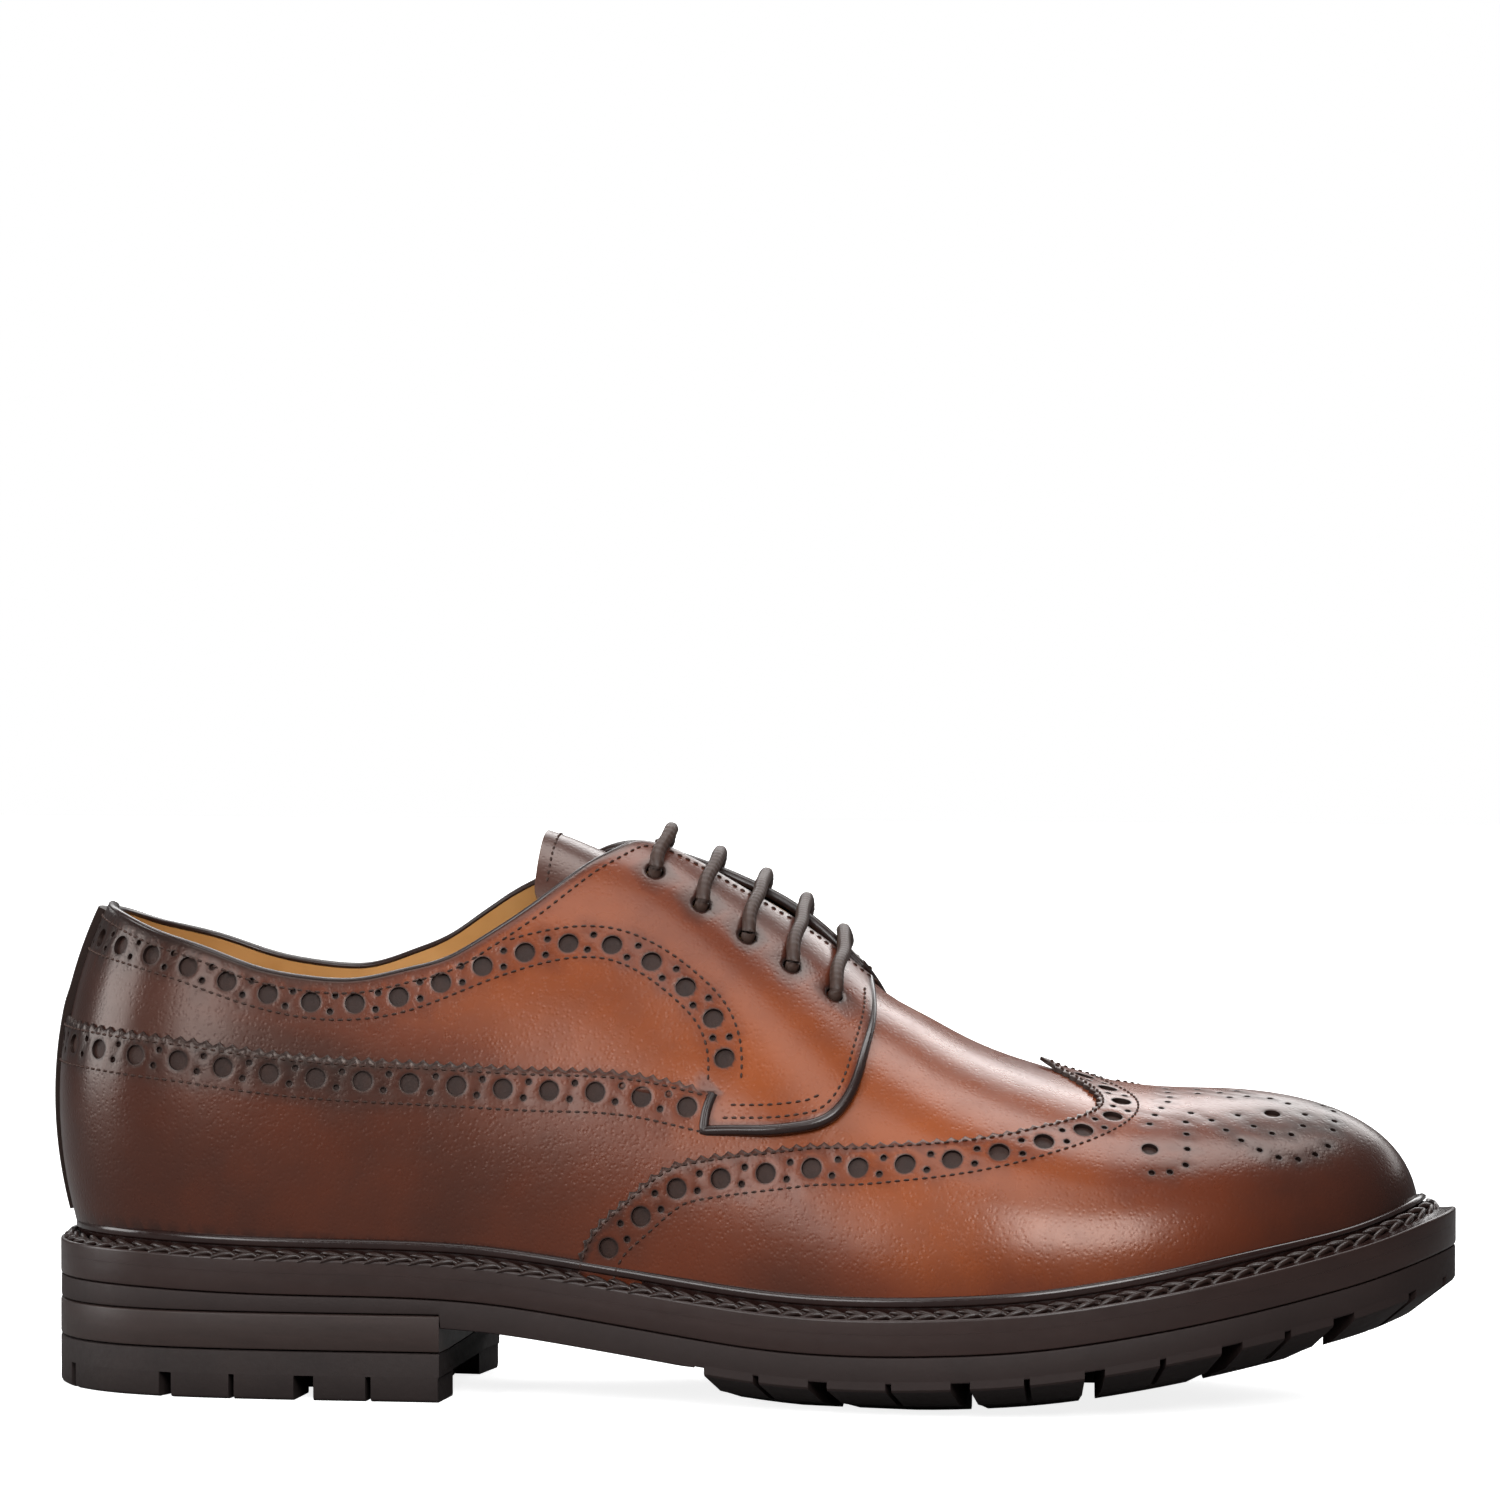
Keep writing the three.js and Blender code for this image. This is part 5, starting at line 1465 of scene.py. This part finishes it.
# Tread: a slab with lugs round its edge, parted by gaps and fine cuts, and blocks down the middle
def edgeBlock(turnFrom, turnTo, side, profile):
    count = max(3, int(abs(turnTo - turnFrom) / 0.035) + 2)
    angles = side * np.linspace(turnFrom, turnTo, count)
    rings = []
    for inset, height in profile:
        flat = soleInset(angles, np.full(count, inset))
        rings.append(np.concatenate([flat, height(flat[:, 0])[:, None]], 1))
    points = np.stack(rings, 1)
    m = len(profile)
    faces = [[i * m + j, i * m + (j + 1) % m, (i + 1) * m + (j + 1) % m, (i + 1) * m + j]
             for i in range(count - 1) for j in range(m)]
    faces += [list(range(m)), [(count - 1) * m + j for j in range(m)]]
    return points.reshape(-1, 3), faces


def plainBlock(low, high):  # a box between two corners, its lower edges drawn in a little
    (x0, y0, z0), (x1, y1, z1) = low, high
    soft = 0.5
    top = [(x0, y0, z1), (x1, y0, z1), (x1, y1, z1), (x0, y1, z1)]
    knee = [(x, y, z0 + soft) for x, y, _ in top]
    foot = [(x0 + soft, y0 + soft, z0), (x1 - soft, y0 + soft, z0),
            (x1 - soft, y1 - soft, z0), (x0 + soft, y1 - soft, z0)]
    faces = [[0, 1, 2, 3], [8, 9, 10, 11]]
    for layer in (0, 4):
        faces += [[layer + i, layer + (i + 1) % 4, layer + 4 + (i + 1) % 4, layer + 4 + i] for i in range(4)]
    return np.array(top + knee + foot), faces


def joined(parts):
    points, faces, start = [], [], 0
    for p, f in parts:
        points.append(p)
        faces += [[i + start for i in face] for face in f]
        start += len(p)
    return np.concatenate(points), faces


def turnAt(x):
    return float(angleOf(x / soleLength))


def treadFloor(x):
    return np.maximum(0, soleTop(x) - solePlan["treadDepth"])


def makeTread():
    plan = solePlan
    breast, back = plan["heelBreast"], plan["treadBack"]

    def under(x):
        rubber = np.where(x <= back + 0.1, soleTop(x) + plan["waistBottom"], soleTop(x) + plan["foreBottom"])
        return np.where(x <= breast + 0.1, plan["heelRubber"], rubber)

    top = level(plan["rubberTop"])
    outer = [(12, top), (0.5, top), (0.2, lambda x: top(x) - 0.12), (0.12, lambda x: top(x) - 0.5),
             (0.1, lambda x: under(x) + 0.7), (0.2, lambda x: under(x) + 0.2), (0.6, under), (12, under)]
    parts = [soleSlab(outer, pi, 150, (breast, breast + 0.3, back, back + 0.3))]
    gap, marks = plan["lugGap"] / 2, [share * soleLength for share in plan["foreGaps"]]
    band = plan["foreBottom"] - plan["sideBand"]
    rise, bevel, width = plan["treadEdgeRise"], plan["lugBevel"], plan["lugWidth"]
    outerPart = [(0.12, level(plan["foreBottom"] + 1)), (0.12, level(band + 0.35)), (0.45, level(band - 0.15)),
                 (bevel - 0.5, lambda x: treadFloor(x) + rise + 0.15),
                 (bevel + 0.4, lambda x: treadFloor(x) + rise - 0.25),
                 (bevel + 4, lambda x: treadFloor(x) + rise * 0.66), (bevel + 4, level(plan["foreBottom"] + 1))]
    innerPart = [(bevel + 3.9, level(plan["foreBottom"] + 1)), (bevel + 3.9, lambda x: treadFloor(x) + rise * 0.68),
                 (width - 0.6, lambda x: treadFloor(x) + 0.05), (width, lambda x: treadFloor(x) + 0.6),
                 (width + 0.6, level(plan["foreBottom"] + 1))]
    for start, end in zip(marks[:-1], marks[1:]):
        middle = (start + end) / 2
        for side in (-1, 1):
            parts.append(edgeBlock(turnAt(start + gap), turnAt(middle - plan["cut"] / 2), side, outerPart))
            parts.append(edgeBlock(turnAt(middle + plan["cut"] / 2), turnAt(end - gap), side, outerPart))
            parts.append(edgeBlock(turnAt(start + gap), turnAt(end - gap), side, innerPart))
    toe = turnAt(marks[-1] + gap)
    for share in (0.0, 0.34, 0.68):
        turnFrom = toe + (pi - toe) * share + (0.03 if share else 0)
        turnTo = toe + (pi - toe) * (share + 0.34) if share < 0.6 else pi - 0.02
        for side in (-1, 1):
            parts.append(edgeBlock(turnFrom, turnTo, side, outerPart))
    for start, end in zip(marks[:-2], marks[1:-1]):
        middle = (start + end) / 2
        width = min(plan["centreWidth"], 2 * (float(medialHalf(turnAt(start))) - plan["lugWidth"]) - plan["lugGap"])
        y = float(crownShift(middle)) / 2
        low = float(max(treadFloor(start), treadFloor(end)))
        parts.append(plainBlock((start + plan["lugGap"], y - width / 2, low),
                                (end - plan["lugGap"], y + width / 2, float(soleTop(middle)) + plan["foreBottom"] + 1)))
    return makeMesh("tread", *joined(parts), ["rubber"], None, None, 30)


def makeTopPiece():
    plan = solePlan
    end, roof, top = turnAt(plan["heelBreast"]), plan["heelSlotTop"], plan["topPieceTop"]
    outer = [(10, flatLevel(top)), (0.4, flatLevel(top)), (0.1, flatLevel(top - 0.15)), (0.02, flatLevel(top - 0.5)),
             (0.02, flatLevel(roof)), (10, flatLevel(roof))]
    parts = [soleSlab(outer, end, 70)]
    block = [(0.04, flatLevel(roof + 1)), (0.04, flatLevel(0.9)), (0.35, flatLevel(0.35)), (1.0, flatLevel(0)),
             (14.6, flatLevel(0)), (15, flatLevel(0.4)), (15, flatLevel(roof + 1))]
    bounds = [(turnAt(share * plan["heelBreast"] - gap / 2), turnAt(share * plan["heelBreast"] + gap / 2))
              for share, gap in plan["heelSlots"]]
    starts, ends = [b[1] for b in bounds], [b[0] for b in bounds[1:]] + [end - 0.002]
    for side in (-1, 1):
        parts += [edgeBlock(a, b, side, block) for a, b in zip(starts, ends)]
    parts.append(edgeBlock(-bounds[0][0], bounds[0][0], 1, block))
    breast = plan["heelBreast"]
    for k in range(3):
        x = breast * (0.34 + 0.21 * k)
        parts.append(plainBlock((x, -12.5, 0), (x + breast * 0.17, 12.5, roof + 1)))
    return makeMesh("top_piece", *joined(parts), ["tread"], None, None, 30)


tread = finishPiece(makeTread(), ["outsole"])
finishPiece(makeTopPiece(), ["heel_top_piece"])

# Insole sock
def makeSock():
    turns = np.linspace(0, pi, 121)
    outer = []
    for inset, rise in ((14, 0.15), (5, 0.35), (1.6, 0.5), (0.5, 0.4), (0.0, 0.0),
                        (0.0, -2.6), (2.0, -2.9), (14, -2.9)):
        outer.append((inset, level(rise)))
    full = np.concatenate([-turns[::-1][:-1], turns[:-1]])
    rings = []
    for inset, height in outer:
        flat = soleInset(full, weltShelf(full) + 2.6 + inset)
        rings.append(np.concatenate([flat, height(flat[:, 0])[:, None]], 1))
    _, faces = soleSlab(outer, pi, 121)
    return makeMesh("insole_sock", np.concatenate(rings), faces, ["insole"])


sock = finishPiece(makeSock(), ["insole"])
print("sole layers done")

# Stitches: a Geometry Nodes tree lays one short thread after another along each row
stitchPlan = {"pitch": 1.95, "length": 1.35, "radius": 0.27}


def addInput(tree, name, kind, value):
    socket = tree.interface.new_socket(name, in_out="INPUT", socket_type=kind)
    if value is not None:
        socket.default_value = value
    return socket.identifier


def repeatTree(name, pitch, material):
    # lays the link along every curve, turned by the curve's direction and the stored outward vector
    tree = bpy.data.node_groups.new(name, "GeometryNodeTree")
    addInput(tree, "Geometry", "NodeSocketGeometry", None)
    pitchId = addInput(tree, "Pitch", "NodeSocketFloat", pitch)
    linkId = addInput(tree, "Link", "NodeSocketObject", None)
    tree.interface.new_socket("Geometry", in_out="OUTPUT", socket_type="NodeSocketGeometry")
    nodes, wires = tree.nodes, tree.links
    source, result = nodes.new("NodeGroupInput"), nodes.new("NodeGroupOutput")
    toCurve = nodes.new("GeometryNodeMeshToCurve")
    resample = nodes.new("GeometryNodeResampleCurve")
    resample.mode = "LENGTH"
    tangent = nodes.new("GeometryNodeInputTangent")
    outward = nodes.new("GeometryNodeInputNamedAttribute")
    outward.data_type = "FLOAT_VECTOR"
    outward.inputs["Name"].default_value = "outward"
    turn = nodes.new("FunctionNodeAxesToRotation")
    turn.primary_axis, turn.secondary_axis = "X", "Z"
    place = nodes.new("GeometryNodeInstanceOnPoints")
    info = nodes.new("GeometryNodeObjectInfo")
    realize = nodes.new("GeometryNodeRealizeInstances")
    paint = nodes.new("GeometryNodeSetMaterial")
    paint.inputs["Material"].default_value = material
    wires.new(source.outputs["Geometry"], toCurve.inputs["Mesh"])
    wires.new(toCurve.outputs["Curve"], resample.inputs["Curve"])
    wires.new(source.outputs["Pitch"], resample.inputs["Length"])
    wires.new(tangent.outputs[0], turn.inputs["Primary Axis"])
    wires.new(outward.outputs["Attribute"], turn.inputs["Secondary Axis"])
    wires.new(source.outputs["Link"], info.inputs["Object"])
    wires.new(resample.outputs[0], place.inputs["Points"])
    wires.new(info.outputs["Geometry"], place.inputs["Instance"])
    wires.new(turn.outputs[0], place.inputs["Rotation"])
    wires.new(place.outputs[0], realize.inputs[0])
    wires.new(realize.outputs[0], paint.inputs["Geometry"])
    wires.new(paint.outputs[0], result.inputs[0])
    return tree, pitchId, linkId


def layAlong(name, rows, link, pitch, finishName):
    points, edges, outward, start = [], [], [], 0
    for line, normals in rows:
        points.append(line)
        outward.append(normals)
        edges += [(start + i, start + i + 1) for i in range(len(line) - 1)]
        start += len(line)
    mesh = bpy.data.meshes.new(name + "_rows")
    mesh.from_pydata(inFrame(np.concatenate(points)).tolist(), edges, [])
    layer = mesh.attributes.new("outward", "FLOAT_VECTOR", "POINT")
    layer.data.foreach_set("vector", np.concatenate(outward).astype(np.float32).reshape(-1))
    carrier = bpy.data.objects.new(name + "_rows", mesh)
    bpy.context.scene.collection.objects.link(carrier)
    tree, pitchId, linkId = repeatTree(name + " tree", pitch / 1000, finishes[finishName])
    modifier = carrier.modifiers.new("lay", "NODES")
    modifier.node_group = tree
    modifier[pitchId] = pitch / 1000
    modifier[linkId] = link
    graph = bpy.context.evaluated_depsgraph_get()
    made = bpy.data.meshes.new_from_object(carrier.evaluated_get(graph))
    bpy.data.objects.remove(carrier)
    made.name = name
    made.shade_smooth()
    piece = bpy.data.objects.new(name, made)
    bpy.context.scene.collection.objects.link(piece)
    return piece


def threadLink(name, length, radius, sides, rings, arch=0.0):
    # one stitch: a thread that dips into the leather at both ends
    points, faces = [], []
    for i in range(rings):
        share = i / (rings - 1) * 2 - 1
        r = radius * math.sqrt(max(0.12, 1 - abs(share) ** 2.6))
        lift = arch * (1 - share * share) - radius * 0.55 * share ** 4
        for j in range(sides):
            spin = j / sides * 2 * pi
            points.append((share * length / 2, math.cos(spin) * r, math.sin(spin) * r + lift))
    for i in range(rings - 1):
        for j in range(sides):
            k = (j + 1) % sides
            faces.append([i * sides + j, (i + 1) * sides + j, (i + 1) * sides + k, i * sides + k][::-1])
    faces.append(list(range(sides)))
    faces.append([(rings - 1) * sides + j for j in range(sides)][::-1])
    mesh = bpy.data.meshes.new(name)
    mesh.from_pydata([[c / 1000 for c in p] for p in points], [], faces)
    piece = bpy.data.objects.new(name, mesh)
    return piece


stitch = threadLink("stitch", stitchPlan["length"], stitchPlan["radius"], 6, 5, 0.1)
upperStitches = finishPiece(layAlong("upper_stitches", stitchRows, stitch, stitchPlan["pitch"], "thread"))
print("stitches", len(upperStitches.data.polygons))

braidPlan = {"pitch": 4.9, "length": 6.6, "radius": 0.66, "lean": 0.3, "across": 0.5, "tilt": 0.9, "rise": 0.45}


def braidLink():
    points, faces = [], []
    for sign in (-1, 1):
        lobe = threadLink("lobe", braidPlan["length"], braidPlan["radius"], 8, 9, 0.35)
        turn = Matrix.Rotation(sign * braidPlan["lean"], 3, "Z")
        shift = Vector((0, sign * braidPlan["across"] / 1000, 0))
        start = len(points)
        points += [turn @ v.co + shift for v in lobe.data.vertices]
        faces += [[start + i for i in p.vertices] for p in lobe.data.polygons]
        bpy.data.objects.remove(lobe)
    mesh = bpy.data.meshes.new("braid_link")
    mesh.from_pydata(points, [], faces)
    return bpy.data.objects.new("braid_link", mesh)


def braidRow():
    turns = np.linspace(-pi, pi, 1200)
    out = lipFace(turns)
    inset = np.maximum(out * 0.5 + 0.1, out - 1.3)
    middle = soleInset(turns, inset)
    edge = soleInset(turns, inset - 1)
    line = np.concatenate([middle, (soleTop(solePoint(turns)[:, 0]) + braidPlan["rise"])[:, None]], 1)
    outward = np.concatenate([(edge - middle) * math.cos(braidPlan["tilt"]),
                              np.full((len(turns), 1), math.sin(braidPlan["tilt"]))], 1)
    return line, outward


weltBraid = finishPiece(layAlong("welt_braid", [braidRow()], braidLink(), braidPlan["pitch"], "braid"))
print("braid", len(weltBraid.data.polygons))


# Floor and light
def makeStage():
    floorPoints = [(-3, -3, 0), (3, -3, 0), (3, 3, 0), (-3, 3, 0)]
    mesh = bpy.data.meshes.new("floor")
    mesh.from_pydata(floorPoints, [], [(0, 1, 2, 3)])
    floorFinish = Finish("floor white")  # bright to the camera, dimmer to the shoe
    floorFinish.set(Base_Color=(0.93, 0.93, 0.93), Roughness=0.6, Specular_IOR_Level=0.1,
                    Emission_Color=(1, 1, 1), Emission_Strength=0.84)
    dim = floorFinish.node("ShaderNodeBsdfDiffuse", Color=(0.2, 0.2, 0.2)).outputs[0]
    seen = floorFinish.node("ShaderNodeLightPath").outputs["Is Camera Ray"]
    mixed = floorFinish.node("ShaderNodeMixShader", Fac=seen)
    floorFinish.tree.links.new(dim, mixed.inputs[1])
    floorFinish.tree.links.new(floorFinish.shader.outputs[0], mixed.inputs[2])
    floorFinish.tree.links.new(mixed.outputs[0], floorFinish.tree.nodes["Material Output"].inputs["Surface"])
    mesh.materials.append(floorFinish.material)
    floor = bpy.data.objects.new("floor", mesh)
    bpy.context.scene.collection.objects.link(floor)
    lamps = [  # name, place, size, power, aim
        ("overhead", (0.1, 0.32, 1.35), (1.3, 0.6), 12, (0.12, 0, 0.05)),
        ("front top", (0.0, -0.65, 1.2), (1.0, 0.5), 4, (0.1, 0, 0.05)),
        ("left", (-1.15, -0.25, 0.35), (0.7, 0.6), 7, (0.0, 0, 0.05)),
        ("front left", (-0.6, -1.25, 0.5), (0.4, 0.6), 5, (0.03, 0, 0.06)),
        ("front right", (0.42, -1.0, 0.64), (0.65, 0.5), 10, (0.2, 0, 0.04)),
        ("behind", (0.1, 1.2, 0.9), (1.4, 0.5), 5, (0.1, 0, 0.05)),
        ("backdrop", (0.0, 2.4, 1.3), (5.0, 1.4), 60, (0.0, 2.5, 0)),
    ]
    for name, place, size, power, aim in lamps:
        light = bpy.data.lights.new(name, "AREA")
        light.shape, light.size, light.size_y, light.energy = "RECTANGLE", size[0], size[1], power
        lamp = bpy.data.objects.new(name, light)
        lamp.location = place
        lamp.rotation_euler = (Vector(aim) - Vector(place)).to_track_quat("-Z", "Y").to_euler()
        bpy.context.scene.collection.objects.link(lamp)
    world = bpy.data.worlds.new("white room")
    bpy.context.scene.world = world
    world.use_nodes = True
    tree = world.node_tree
    tree.nodes.clear()
    seen, room = tree.nodes.new("ShaderNodeBackground"), tree.nodes.new("ShaderNodeBackground")
    seen.inputs[0].default_value, seen.inputs[1].default_value = (1, 1, 1, 1), 1.0
    room.inputs[0].default_value, room.inputs[1].default_value = (1, 1, 1, 1), 0.1
    path, mix = tree.nodes.new("ShaderNodeLightPath"), tree.nodes.new("ShaderNodeMixShader")
    output = tree.nodes.new("ShaderNodeOutputWorld")
    tree.links.new(path.outputs["Is Camera Ray"], mix.inputs[0])
    tree.links.new(room.outputs[0], mix.inputs[1])
    tree.links.new(seen.outputs[0], mix.inputs[2])
    tree.links.new(mix.outputs[0], output.inputs[0])
    bpy.context.scene.view_settings.view_transform = "Standard"


makeStage()
